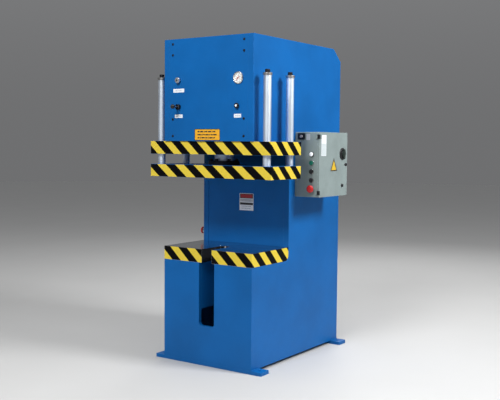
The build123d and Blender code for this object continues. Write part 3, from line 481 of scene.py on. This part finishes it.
def table_steel(name):
    """The ground table top, with painted shade: faces that face across X, the long sides of its slot among
    them, are near black and not metal, for the shade inside the slot.
    """
    graph, ground = steel_graph(name, table_tint, table_roughness, table_lines)
    normal = graph.node("NewGeometry").outputs["True Normal"]
    across = graph.node("SeparateXYZ", {0: normal}).outputs["X"]
    # Painted shade: faces that face across X are near black, for the shade in the table's slot.
    painted_shade_mask = graph.calculate("GREATER_THAN", graph.calculate("ABSOLUTE", across), across_face)
    graph.set(Base_Color=graph.mix(painted_shade_mask, ground, painted_slot_shade))
    graph.set(Metallic=graph.fit(painted_shade_mask, 0.0, 1.0, 1.0, 0.0))
    return graph.material


def moulded(name, colour, roughness, edge_radius=0.0008):
    """Moulded plastic with a fine skin and slightly rubbed edges."""
    graph = Graph(name)
    body = graph.mix(graph.patches(scale=45.0, detail=4.0), colour, shaded(colour, by=0.86))
    rubbed = graph.edges(edge_radius, start=0.45, full=0.68)
    body = graph.mix(rubbed, body, shaded(colour, by=1.25, lift=0.01))
    gloss_noise = graph.noise(scale=120.0, detail=3.0)
    gloss = graph.varied(gloss_noise, low=roughness * 0.85, high=roughness * 1.2)
    skin = graph.noise(scale=1500.0, detail=2.0)
    graph.set(Base_Color=body, Roughness=gloss, Specular_IOR_Level=0.35)
    graph.set(Normal=graph.bump(skin, distance=0.0002, strength=0.15, normal=graph.rounded(edge_radius)))
    return graph.material


def hazard_tape(name):
    """Yellow and black slanted stripes, one pair to each unit of the first texture coordinate."""
    graph = Graph(name)
    flat = graph.node("TexCoord").outputs["UV"]
    along = graph.node("SeparateXYZ", {0: flat}).outputs["X"]
    wobble = graph.varied(graph.noise(scale=500.0, detail=2.0), low=-stripe_wobble, high=stripe_wobble)
    half_pair = 0.5
    from_yellow = graph.calculate("PINGPONG", graph.calculate("ADD", along, wobble), half_pair)
    yellow_end = tape_yellow_share * half_pair
    is_black = graph.fit(from_yellow, yellow_end - stripe_blur, yellow_end + stripe_blur, 0.0, 1.0)
    rubbed = graph.patches(scale=70.0, detail=6.0, roughness=0.7, start=0.52, full=0.70, strength=0.5)
    yellow = graph.mix(rubbed, tape_yellow, shaded(tape_yellow, by=0.72))
    black = graph.mix(rubbed, tape_black, shaded(tape_black, by=1.0, lift=0.008))
    gloss = graph.varied(graph.noise(scale=30.0, detail=4.0), low=0.36, high=0.52)
    creases = graph.noise(scale=26.0, detail=5.0, roughness=0.7)
    graph.set(Base_Color=graph.mix(is_black, yellow, black), Roughness=gloss, Specular_IOR_Level=0.06)
    graph.set(Normal=graph.bump(creases, distance=0.0008, strength=0.18))
    return graph.material


def printed(name, colour, roughness=0.38):
    """A field of printed film, a little faded and dusty."""
    graph = Graph(name)
    fade = graph.patches(scale=55.0, detail=5.0, roughness=0.6, start=0.35, full=0.70)
    dust = graph.noise(scale=90.0, detail=3.0)
    graph.set(Base_Color=graph.mix(fade, colour, shaded(colour, by=0.88)))
    graph.set(Roughness=graph.varied(dust, low=roughness * 0.85, high=roughness * 1.15))
    graph.set(Normal=graph.bump(graph.noise(scale=160.0, detail=3.0), distance=0.0002, strength=0.12))
    return graph.material


def glass(name):
    graph = Graph(name)
    haze = graph.varied(graph.noise(scale=60.0, detail=3.0), low=0.01, high=0.05)
    graph.set(Base_Color=opaque(glass_tint), Roughness=haze)
    graph.set(Transmission_Weight=1.0, IOR=1.45, Alpha=0.3)
    return graph.material


def lamp_lens(name):
    """The frosted white lens in its dark bezel ring, split by the distance from the control face."""
    graph = Graph(name)
    lens_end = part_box("pilot_light")[0].y + lens_depth
    is_lens = graph.fit(graph.axes()["Y"], lens_end + lens_blur, lens_end - lens_blur, 0.0, 1.0)
    frost = graph.mix(graph.patches(scale=300.0), lamp_white, lamp_shade)
    graph.set(Base_Color=graph.mix(is_lens, ring_black, frost), Roughness=0.28)
    return graph.material


def capped(name, node, colour, roughness, cap_colour, cap_depth, cap_radius, metal):
    """A knob whose front centre isn't metal and has another colour, such as a light cap, or painted shade
    for a hole.
    """
    graph = Graph(name)
    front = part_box(node)[0].y
    centre = middle(node)
    axes = graph.axes()
    x = graph.calculate("SUBTRACT", axes["X"], centre.x)
    z = graph.calculate("SUBTRACT", axes["Z"], centre.z)
    squares = graph.calculate("ADD", graph.calculate("MULTIPLY", x, x), graph.calculate("MULTIPLY", z, z))
    inside = graph.calculate("LESS_THAN", graph.calculate("SQRT", squares), cap_radius)
    ahead = graph.calculate("LESS_THAN", axes["Y"], front + cap_depth)
    is_cap = graph.calculate("MULTIPLY", inside, ahead)
    shade = graph.mix(graph.patches(scale=80.0), colour, shaded(colour, by=0.7))
    graph.set(Base_Color=graph.mix(is_cap, shade, cap_colour), Normal=graph.rounded(knob_edge))
    graph.set(Metallic=graph.fit(is_cap, 0.0, 1.0, metal, 0.0))
    graph.set(Roughness=graph.fit(is_cap, 0.0, 1.0, roughness, cap_roughness))
    return graph.material


def lever_finish(name):
    """A bright rod with a black ball on its end and a black eye."""
    graph = Graph(name)
    low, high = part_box("control_lever")
    ball = high.x - low.x
    depth = graph.axes()["Y"]
    behind_ball = graph.calculate("GREATER_THAN", depth, low.y + ball * ball_share)
    before_eye = graph.calculate("LESS_THAN", depth, head_low.y - lever_eye_depth)
    is_rod = graph.calculate("MULTIPLY", behind_ball, before_eye)
    shade = graph.mix(graph.patches(scale=90.0), knob_black, worn_knob_black)
    gloss = graph.fit(is_rod, 0.0, 1.0, to_low=0.32, to_high=0.2)
    graph.set(Base_Color=graph.mix(is_rod, shade, lever_tint), Metallic=is_rod, Roughness=gloss)
    graph.set(Specular_IOR_Level=0.3, Normal=graph.rounded(lever_edge))
    return graph.material


def hinge_finish(name):
    """Hinges with black knuckles, whose leaves are painted over with the enclosure."""
    graph = Graph(name)
    axes = graph.axes()
    beside_box = graph.calculate("GREATER_THAN", axes["X"], body_high.x + black_start_x)
    before_box = graph.calculate("LESS_THAN", axes["Y"], body_low.y + black_end_y)
    is_black = graph.calculate("MULTIPLY", beside_box, before_box)
    grey = graph.mix(graph.patches(scale=7.0, detail=4.0), enclosure_grey, shaded(enclosure_grey, by=0.94))
    black = graph.mix(graph.edges(knob_edge, start=0.45, full=0.68), knob_black, worn_hinge_black)
    grain = graph.noise(scale=900.0, detail=3.0)
    graph.set(Base_Color=graph.mix(is_black, grey, black), Roughness=0.45, Specular_IOR_Level=0.3)
    graph.set(Normal=graph.bump(grain, distance=0.0004, strength=0.25, normal=graph.rounded(steel_edge)))
    return graph.material


def relief_finish(name):
    """The bright knob, with painted shade in its middle: a near-black disc that stands in for the shade in
    its hole.
    """
    # Painted shade: near black fills the hole's place at the knob's front.
    return capped(
        name, "relief_knob", knob_tint, roughness=0.34, cap_colour=ring_black,
        cap_depth=relief_hole_depth, cap_radius=relief_hole_radius, metal=1.0,
    )


def speed_finish(name):
    """The small black knob, with a white cap in its middle."""
    return capped(
        name, "speed_knob", knob_black, roughness=0.34, cap_colour=cap_white,
        cap_depth=speed_cap_depth, cap_radius=speed_cap_radius, metal=0.0,
    )


finishes = {
    "frame_paint": machine_enamel("frame_enamel", press_blue, wear_and_highlight_blue),
    "panel_paint": machine_enamel("panel_enamel", press_blue, wear_and_highlight_blue, edge_radius=0.001),
    "hazard_paint": machine_enamel("plate_enamel", press_blue, wear_and_highlight_blue),
    "table_steel": table_steel("table_ground_steel"),
    "rod_chrome": rod_plating("rod_chrome", rod_tint, roughness=0.46),
    "collar_steel": ground_steel("collar_steel", collar_tint, roughness=0.32, lines=(60.0, 60.0, 800.0)),
    "black_steel": ground_steel("black_oxide_steel", oxide_tint, roughness=0.42, lines=(80.0, 80.0, 80.0)),
    "bearing_bronze": ground_steel("bearing_bronze", bronze_tint, roughness=0.30, lines=(60.0, 60.0, 900.0)),
    "cylinder_steel": powder_coat("primed_casting", casting_grey, grain_scale=300.0, grain_depth=0.0012),
    "tank_paint": machine_enamel("tank_enamel", tank_grey, wear_and_highlight_tank_grey),
    "motor_paint": powder_coat("motor_casting", motor_grey, grain_scale=260.0, grain_depth=0.0014),
    "pipe_steel": ground_steel("drawn_tube", tube_tint, roughness=0.30, lines=(30.0, 30.0, 30.0)),
    "enclosure_paint": powder_coat("enclosure_powder_coat", enclosure_grey),
    "hinge_black": hinge_finish("hinge_finish"),
    "black_plastic": moulded("black_plastic", device_black, roughness=0.40),
    "knob_chrome": relief_finish("relief_knob_finish"),
    "gauge_steel": bright_plating("gauge_bezel", gauge_tint, roughness=0.16, lines=(90.0, 900.0, 90.0)),
    "needle_red": moulded("needle_red", needle_red, roughness=0.30, edge_radius=0.0002),
    "lens_glass": glass("gauge_glass"),
    "bezel_steel": bright_plating("bezel_nickel", nickel_tint, roughness=0.14, lines=(300.0, 300.0, 300.0)),
    "red_plastic": moulded("red_plastic", button_red, roughness=0.24),
    "green_plastic": moulded("green_plastic", button_green, roughness=0.28),
    "lamp_white": lamp_lens("pilot_lens"),
    "knob_grey": moulded("grey_plastic", counter_grey, roughness=0.34),
}
own_finishes = {
    "speed_knob": speed_finish("speed_knob_finish"),
    "control_lever": lever_finish("control_lever_finish"),
    "disconnect_handle": moulded("handle_grey", handle_grey, roughness=0.36),
}
tape_finish = hazard_tape("hazard_tape")
white_film = printed("white_film", label_white)
faint_film = printed("faint_print", label_print)
orange_film = printed("orange_film", label_orange)
red_film = printed("red_film", label_red)
black_film = printed("black_film", label_black)
grey_film = printed("grey_film", label_grey)
pale_film = printed("pale_film", label_pale)
yellow_film = printed("yellow_film", triangle_yellow)
dial_film = printed("dial_print", dial_white, roughness=0.5)
foam = moulded("foam_seal", foam_black, roughness=0.8, edge_radius=0.002)
mounting_steel = ground_steel("mounting_steel", table_tint, table_roughness, table_lines)


def dress_nodes():
    """Gives each CAD node its own finish, or the finish of its material slot."""
    slots = {row["node"]: row["material_slot"] for row in frame["record"]["subparts"]}
    for name, node in frame["nodes"].items():
        finish = own_finishes.get(name, finishes[slots[name]])
        for material_slot in node.material_slots:
            material_slot.material = finish


def piece(name, mesh, finish, body):
    """A new visible piece that rides on a body."""
    made = bpy.data.objects.new(name, mesh)
    bpy.context.collection.objects.link(made)
    mesh.materials.append(finish)
    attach(made, body)


def flat_place(origin, right, up):
    """A place on a face, with local X to the right, Y up and Z out of the face."""
    out = Vector(right).cross(Vector(up))
    turn = Matrix((right, up, out)).transposed().to_4x4()
    return Matrix.Translation(Vector(origin)) @ turn


def on_front(x, y, z):
    return flat_place((x, y, z), (1, 0, 0), (0, 0, 1))


def on_right(x, y, z):
    return flat_place((x, y, z), (0, 1, 0), (0, 0, 1))


def finished_mesh(name, made):
    """The mesh of a bmesh that is done."""
    mesh = bpy.data.meshes.new(name)
    made.to_mesh(mesh)
    made.free()
    return mesh


def raised(made, place, outline, height):
    """The corners of an outline at this height above its face."""
    return [made.verts.new(place @ Vector((x, y, height))) for x, y in outline]


def join_rings(made, before, after):
    """Faces between two closed rings that have the same number of corners."""
    count = len(before)
    for i in range(count):
        j = (i + 1) % count
        made.faces.new((before[i], before[j], after[j], after[i]))


def rounded_outline(width, height, radius):
    """The corners of a rectangle with rounded corners, round its middle."""
    points = []
    for quarter, (side, top) in enumerate(((1, 1), (-1, 1), (-1, -1), (1, -1))):
        for step in range(corner_steps + 1):
            angle = math.radians(90 * (quarter + step / corner_steps))
            x = side * (width / 2 - radius) + radius * math.cos(angle)
            y = top * (height / 2 - radius) + radius * math.sin(angle)
            points.append((x, y))
    return points


def slab_mesh(name, place, outline, low, high):
    """A flat piece of this outline between two heights above its face."""
    made = bmesh.new()
    lower = raised(made, place, outline, low)
    upper = raised(made, place, outline, high)
    made.faces.new(lower[::-1])
    made.faces.new(upper)
    join_rings(made, lower, upper)
    return finished_mesh(name, made)


class Label:
    """A film label on a face, and what is printed on it in layers."""

    def __init__(self, name, place, width, height, finish, body, slot, radius=label_corner):
        self.name = name
        self.place = place
        self.body = body
        self.slot = slot
        mesh = slab_mesh(name, place, rounded_outline(width, height, radius), 0.0, film_thickness)
        piece(name, mesh, finish, body)

    def field(self, word, y, width, height, finish, layer=0):
        """A field of colour at this height on the label."""
        name = f"{self.name}_{word}"
        radius = min(width, height) * field_corner_share
        outline = [(x, y + rise) for x, rise in rounded_outline(width, height, radius)]
        low = film_thickness + print_thickness * layer
        mesh = slab_mesh(name, self.place, outline, low, low + print_thickness)
        piece(name, mesh, finish, self.body)

    def rows(self, word, y, width, finish, count=1, pitch=0.0, layer=0, half_height=bar_half_height):
        """Print as rows of plain bars of changing length, round this height on the label."""
        name = f"{self.name}_{word}"
        bar = half_height * bar_length_share
        level = film_thickness + print_thickness * (1 + layer)
        made = bmesh.new()
        for row in range(count):
            row_y = y + pitch * ((count - 1) / 2 - row)
            x = -width / 2
            step = 0
            while x < width / 2 - bar:
                turn = bar_step_turn * step + bar_row_turn * row
                length = bar * (bar_mean_share + bar_swing_share * math.sin(turn))
                end = min(x + length, width / 2)
                low = row_y - half_height
                high = row_y + half_height
                corners = raised(made, self.place, ((x, low), (end, low), (end, high), (x, high)), level)
                made.faces.new(corners)
                x = end + bar * bar_gap_share
                step += 1
        piece(name, finished_mesh(name, made), finish, self.body)


# Hazard tape round the guide plate, the platen and the table


def outward(route):
    """The mitred outward direction at each point of a route that keeps the object on its left."""
    normals = []
    for a, b in zip(route, route[1:]):
        step = (b - a).normalized()
        normals.append(Vector((step.y, -step.x)))
    directions = [normals[0]]
    for before, after in zip(normals, normals[1:]):
        halfway = (before + after).normalized()
        directions.append(halfway / max(sharpest_mitre, halfway.dot(after)))
    directions.append(normals[-1])
    return directions


def tape_band(name, route, lengths, low_edges, top, pitch, first, lean, body):
    """Tape along a route in plan, between a lower edge of its own at each point and one top edge."""
    made = bmesh.new()
    phases = made.loops.layers.uv.new("UVMap")
    rings = []
    phase_of = {}
    for point, out, length, low in zip(route, outward(route), lengths, low_edges):
        ring = []
        for depth, z in ((0.0, low), (tape_thickness, low), (tape_thickness, top), (0.0, top)):
            vertex = made.verts.new((*(point + out * depth), z))
            phase_of[vertex] = (length - first - lean * (top - z)) / pitch
            ring.append(vertex)
        rings.append(ring)
    for before, after in zip(rings, rings[1:]):
        join_rings(made, before, after)
    made.faces.new(rings[0])
    made.faces.new(rings[-1][::-1])
    bmesh.ops.recalc_face_normals(made, faces=made.faces[:])
    for face in made.faces:
        for loop in face.loops:
            loop[phases].uv = (phase_of[loop.vert], loop.vert.co.z)
    piece(name, finished_mesh(name, made), tape_finish, body)


def running_lengths(route, start, side_stretch):
    """The stripes' length at each point: 0 at the start point, and stretched along Y."""
    lengths = [0.0]
    for a, b in zip(route, route[1:]):
        step = b - a
        lengths.append(lengths[-1] + math.hypot(step.x, step.y * side_stretch))
    nearest = min(range(len(route)), key=lambda i: (route[i] - start).length)
    return [length - lengths[nearest] for length in lengths]


def plate_route(low, high, radius):
    """Round a plate from the middle of its rear, past its left side, front and right side."""
    rear_middle = Vector(((low.x + high.x) / 2, high.y))
    left = low.x + radius
    right = high.x - radius
    front = low.y + radius
    rear = high.y - radius
    route = [rear_middle]
    for quarter, (x, y) in enumerate(((left, rear), (left, front), (right, front), (right, rear)), start=1):
        for step in range(corner_steps + 1):
            angle = math.radians(90 * (quarter + step / corner_steps))
            route.append(Vector((x + radius * math.cos(angle), y + radius * math.sin(angle))))
    route.append(rear_middle)
    return route


def plate_tape(name, node, body, pitch, first, lean, side_stretch):
    low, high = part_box(node)
    route = plate_route(low, high, plate_corner_radius)
    lengths = running_lengths(route, Vector((low.x, low.y)), side_stretch)
    low_edges = [low.z + tape_margin] * len(route)
    tape_band(name, route, lengths, low_edges, high.z - tape_margin, pitch, first, lean, body)


def table_tape(name, side, first):
    """Tape from the slot round one front corner and along the table's side to its rounded end."""
    front = table_low.y
    side_x = table_high.x
    bottom = table_low.z + tape_margin
    bend_start = table_high.y - tape_margin - table_end_radius
    corners = ((slot_half_width + tape_margin, front), (side_x, front), (side_x, bend_start))
    route = [Vector(corner) for corner in corners]
    low_edges = [bottom] * len(route)
    for step in range(1, table_end_steps + 1):
        angle = math.radians(90 * step / table_end_steps)
        route.append(Vector((side_x, bend_start + table_end_radius * math.sin(angle))))
        low_edges.append(bottom + table_end_radius * (1 - math.cos(angle)))
    if side < 0:
        route = [Vector((-point.x, point.y)) for point in route[::-1]]
        low_edges = low_edges[::-1]
    lengths = running_lengths(route, Vector((side * side_x, front)), table_side_stretch)
    top = table_high.z - tape_margin
    tape_band(name, route, lengths, low_edges, top, table_pitch, first, table_lean, "frame")


def hazard_tapes():
    plate_tape("guide_plate_tape", "upper_guide_plate", "frame", **upper_stripes)
    plate_tape("platen_tape", "platen", "moving_platen", **lower_stripes)
    table_tape("table_tape_left", -1, table_left_first)
    table_tape("table_tape_right", 1, table_right_first)


# Labels


def small_head_labels():
    """A small white label under each control of the head panel."""
    for name, (control, shift, drop, width, height) in small_labels.items():
        centre = middle(control)
        place = on_front(centre.x + shift, head_low.y, centre.z - drop)
        label = Label(name, place, width, height, white_film, "frame", "panel_paint")
        label.rows("print", 0.0, width * small_print_share, faint_film)


def guard_label():
    """The orange label with a black border at the head's foot."""
    place = on_front(0.0, head_low.y, head_low.z + guard_rise)
    label = Label(
        "guard_label", place, guard_width, guard_height, black_film,
        "frame", "panel_paint", notice_corner,
    )
    field_width = guard_width - 2 * guard_border
    field_height = guard_height - 2 * guard_border
    label.field("field", 0.0, field_width, field_height, orange_film)
    label.rows(
        "print", 0.0, guard_print_width, black_film, count=3, pitch=guard_print_pitch, layer=1,
        half_height=guard_print_half_height,
    )


def throat_notice():
    """The notice on the column, with a red heading over a grey, a black and a white field."""
    column_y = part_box("throat_back_plate")[0].y
    place = on_front(notice_shift, column_y, table_high.z + notice_rise)
    label = Label(
        "throat_notice", place, notice_width, notice_height, white_film,
        "frame", "frame_paint", notice_corner,
    )
    label.field("border", heading_y, notice_field_width, heading_height, black_film)
    label.field("red", heading_y, heading_red_width, heading_red_height, red_film, layer=1)
    label.field("grey", grey_field_y, notice_field_width, grey_field_height, grey_film)
    label.rows("print", grey_field_y, grey_print_width, faint_film, count=2, pitch=grey_print_pitch, layer=1)
    label.field("black", black_field_y, notice_field_width, black_field_height, black_film)
    label.rows("foot", foot_print_y, foot_print_width, faint_film, count=2, pitch=foot_print_pitch)


def counter_plate():
    """The small grey plate beside the counter."""
    housing = middle("counter_housing")
    place = on_front(housing.x + counter_plate_shift, body_low.y, housing.z - counter_plate_drop)
    Label(
        "counter_plate", place, counter_plate_width, counter_plate_height, grey_film,
        "frame", "enclosure_paint", counter_plate_corner,
    )


def door_label():
    """The tall label near the door's front edge, with a pale field over its lower part."""
    place = on_right(door_high.x, door_low.y + door_label_setback, door_high.z - door_label_drop)
    label = Label(
        "door_label", place, door_label_width, door_label_height, white_film,
        "door", "enclosure_paint",
    )
    label.field("foot", door_foot_y, door_foot_width, door_foot_height, pale_film)


def door_triangle():
    """The plain yellow triangle with a black border on the door."""
    place = on_right(door_high.x, door_low.y + triangle_setback, door_high.z - triangle_drop)
    foot = -triangle_height / 2
    outer = [(-triangle_half_width, foot), (triangle_half_width, foot), (0.0, -foot)]
    inner_foot = foot + triangle_height * triangle_inner_lift
    inner = [
        (x * triangle_inner_share, inner_foot + (y - foot) * triangle_inner_share)
        for x, y in outer
    ]
    border = slab_mesh("door_triangle_border", place, outer, 0.0, film_thickness)
    piece("door_triangle_border", border, black_film, "door")
    centre = slab_mesh("door_triangle", place, inner, film_thickness, film_thickness + print_thickness)
    piece("door_triangle", centre, yellow_film, "door")


# Pressure gauge


def round_outline(radius):
    """The corners of the dial's circle at this radius."""
    angles = [math.radians(turn) for turn in range(0, 360, dial_step)]
    return [(radius * math.cos(angle), radius * math.sin(angle)) for angle in angles]


def gauge_dial(place):
    """The white dial, with a hole for the needle's spindle."""
    made = bmesh.new()
    inner = raised(made, place, round_outline(dial_hole), dial_lift)
    outer = raised(made, place, round_outline(dial_radius), dial_lift)
    join_rings(made, outer, inner)
    piece("gauge_dial", finished_mesh("gauge_dial", made), dial_film, "frame")


def gauge_ticks(place):
    """The ring of ticks, with a long one at each number."""
    made = bmesh.new()
    for step in range(tick_count + 1):
        angle = math.radians(dial_start - dial_sweep * step / tick_count)
        length, width = short_tick if step % ticks_per_long else long_tick
        direction = Vector((math.cos(angle), math.sin(angle)))
        across = Vector((-direction.y, direction.x)) * width / 2
        start = direction * tick_radius
        end = direction * (tick_radius - length)
        corners = (start + across, end + across, end - across, start - across)
        made.faces.new(raised(made, place, corners, dial_print_lift))
    piece("gauge_ticks", finished_mesh("gauge_ticks", made), black_film, "frame")


def number_mesh(number):
    """A flat number round its own middle."""
    curve = bpy.data.curves.new("dial_number", "FONT")
    curve.body = str(number)
    curve.size = number_size
    curve.align_x = "CENTER"
    curve.align_y = "CENTER"
    curve.resolution_u = number_resolution
    text = bpy.data.objects.new("dial_number", curve)
    bpy.context.collection.objects.link(text)
    scene_state = bpy.context.evaluated_depsgraph_get()
    mesh = bpy.data.meshes.new_from_object(text.evaluated_get(scene_state))
    bpy.data.objects.remove(text)
    mesh.materials.clear()
    return mesh


def dial_numbers(place):
    """The plain numbers inside the ring of ticks."""
    for number in range(last_number + 1):
        angle = math.radians(dial_start - dial_sweep * number / last_number)
        x = number_radius * math.cos(angle)
        y = number_radius * math.sin(angle)
        mesh = number_mesh(number)
        mesh.transform(place @ Matrix.Translation((x, y, dial_print_lift)))
        piece(f"dial_number_{number}", mesh, black_film, "frame")


def pressure_gauge():
    """The dial on the floor of the gauge's case, and what is printed on it."""
    centre = middle("gauge_case")
    place = on_front(centre.x, head_low.y - dial_depth, centre.z)
    gauge_dial(place)
    gauge_ticks(place)
    dial_numbers(place)


# Welds


def weld(name, start, end, first_leg, second_leg, size):
    """A rippled fillet weld in the corner between two faces of the frame, along a line."""
    start, end, first_leg, second_leg = (Vector(value) for value in (start, end, first_leg, second_leg))
    length = (end - start).length
    count = int(length / weld_ripple * weld_steps_per_ripple)
    made = bmesh.new()
    rings = []
    for step in range(count + 1):
        fraction = step / count
        ripple = weld_swell * abs(math.sin(math.pi * fraction * length / weld_ripple))
        swell = 1 + ripple + weld_wander * math.sin(step * weld_wander_step)
        centre = start.lerp(end, fraction)
        ring = []
        for turn in range(weld_sides + 1):
            angle = math.radians(90 * turn / weld_sides)
            offset = first_leg * math.cos(angle) + second_leg * math.sin(angle)
            ring.append(made.verts.new(centre + offset * size * swell))
        ring.append(made.verts.new(centre))
        rings.append(ring)
    for before, after in zip(rings, rings[1:]):
        join_rings(made, before, after)
    made.faces.new(rings[0])
    made.faces.new(rings[-1][::-1])
    bmesh.ops.recalc_face_normals(made, faces=made.faces[:])
    mesh = finished_mesh(name, made)
    mesh.shade_smooth()
    piece(name, mesh, finishes["frame_paint"], "frame")


def frame_welds():
    """Welds of the cheeks on the foot bars and on the rear wall."""
    cheek_low, cheek_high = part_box("side_plate_right")
    rear_low, rear_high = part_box("rear_plate")
    for side, word in ((-1, "left"), (1, "right")):
        face = side * cheek_high.x
        inner = side * cheek_low.x
        for foot in ("front_foot_bar", "rear_foot_bar"):
            low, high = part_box(foot)
            start = (face, low.y + weld_end, high.z)
            end = (face, high.y - weld_end, high.z)
            weld(f"{foot}_weld_{word}", start, end, (side, 0, 0), (0, 0, 1), foot_weld)
        start = (inner, rear_high.y, rear_low.z + weld_end)
        end = (inner, rear_high.y, cheek_high.z - rear_weld_drop)
        weld(f"rear_wall_weld_{word}", start, end, (-side, 0, 0), (0, 1, 0), rear_weld)


# Inside the enclosure


def door_seal(centre_y, centre_z, width, height):
    """The foam ring on the door's inner side."""
    place = on_right(body_high.x + seal_gap, centre_y, centre_z)
    made = bmesh.new()
    rings = []
    for depth in (0.0, seal_depth):
        for inset in (seal_margin, seal_margin + 2 * seal_band):
            outline = rounded_outline(width - inset, height - inset, seal_corner)
            rings.append(raised(made, place, outline, depth))
    outer_low, inner_low, outer_high, inner_high = rings
    join_rings(made, outer_low, outer_high)
    join_rings(made, outer_high, inner_high)
    join_rings(made, inner_high, inner_low)
    join_rings(made, inner_low, outer_low)
    bmesh.ops.recalc_face_normals(made, faces=made.faces[:])
    piece("door_seal", finished_mesh("door_seal", made), foam, "door")


def mounting_plate(centre_y, centre_z, width, height):
    """The bare steel plate on the back of the box."""
    place = on_right(body_low.x + mounting_gap, centre_y, centre_z)
    outline = rounded_outline(width - mounting_margin, height - mounting_margin, mounting_corner)
    mesh = slab_mesh("mounting_plate", place, outline, mounting_low, mounting_high)
    piece("mounting_plate", mesh, mounting_steel, "frame")


def enclosure_inside():
    centre = middle("enclosure_door")
    size = door_high - door_low
    door_seal(centre.y, centre.z, size.y, size.z)
    mounting_plate(centre.y, centre.z, size.y, size.z)


# Stage


def add_floor():
    bpy.ops.mesh.primitive_circle_add(
        vertices=floor_corners, radius=floor_radius, fill_type="NGON", location=(0, 0, 0),
    )
    floor = bpy.context.object
    floor.name = "floor"
    graph = Graph("pale_floor")
    shade = graph.patches(scale=1.2, detail=3.0)
    graph.set(Base_Color=graph.mix(shade, floor_pale, shaded(floor_pale, by=0.97)), Roughness=0.6)
    floor.data.materials.append(graph.material)


def add_light(name, place, target, size, power):
    """A soft rectangular light that points at its target."""
    data = bpy.data.lights.new(name, "AREA")
    data.shape = "RECTANGLE"
    data.size, data.size_y = size
    data.energy = power
    lamp = bpy.data.objects.new(name, data)
    lamp.location = place
    lamp.rotation_euler = (Vector(target) - Vector(place)).to_track_quat("-Z", "Y").to_euler()
    bpy.context.collection.objects.link(lamp)


def add_lights():
    add_light("key_light", place=(5.6, 0.6, 5.4), target=(0.4, 0.1, 1.6), size=(1.8, 1.8), power=530)
    add_light("head_light", place=(0.7, -5.6, 6.2), target=(0.1, -0.6, 1.6), size=(2.2, 1.6), power=440)
    add_light("top_light", place=(0.8, -0.2, 6.6), target=(0.0, 0.0, 1.6), size=(3.5, 3.5), power=60)
    add_light("rear_light", place=(-1.5, 5.5, 4.5), target=(0.0, 0.0, 1.4), size=(3.0, 3.0), power=120)
    add_light("reflector", place=(2.2, -8.0, 6.2), target=(0.2, 0.0, 1.6), size=(7.0, 4.0), power=40)


def add_sky():
    """A studio sky that is darker at the horizon than overhead."""
    world = bpy.data.worlds.new("studio")
    bpy.context.scene.world = world
    world.use_nodes = True
    tree = world.node_tree
    direction = add_node(tree, "TexCoord").outputs["Generated"]
    upward = add_node(tree, "SeparateXYZ", {0: direction}).outputs["Z"]
    levels = {"Value": upward, "From Max": sky_fade_end, "To Min": horizon_glow, "To Max": sky_glow}
    glow = add_node(tree, "MapRange", levels, interpolation_type="SMOOTHSTEP").outputs["Result"]
    background = tree.nodes["Background"]
    feed(tree, background.inputs["Color"], opaque(sky_colour))
    feed(tree, background.inputs["Strength"], glow)
    bpy.context.scene.view_settings.view_transform = "Standard"


def add_camera():
    forward = Vector((
        -math.sin(camera_yaw) * math.cos(camera_pitch),
        math.cos(camera_yaw) * math.cos(camera_pitch),
        math.sin(camera_pitch),
    ))
    level = Vector((math.cos(camera_yaw), math.sin(camera_yaw), 0))
    upright = level.cross(forward)
    right = math.cos(camera_roll) * level + math.sin(camera_roll) * upright
    up = math.cos(camera_roll) * upright - math.sin(camera_roll) * level
    turn = Matrix((right, up, -forward)).transposed().to_4x4()
    data = bpy.data.cameras.new("camera")
    data.sensor_fit = "HORIZONTAL"
    data.sensor_width = sensor_width
    data.lens = camera_lens
    camera = bpy.data.objects.new("camera", data)
    camera.matrix_world = Matrix.Translation(camera_place) @ turn
    bpy.context.collection.objects.link(camera)
    bpy.context.scene.camera = camera


dress_nodes()
hazard_tapes()
small_head_labels()
guard_label()
throat_notice()
counter_plate()
door_label()
door_triangle()
pressure_gauge()
frame_welds()
enclosure_inside()
add_floor()
add_lights()
add_sky()
add_camera()
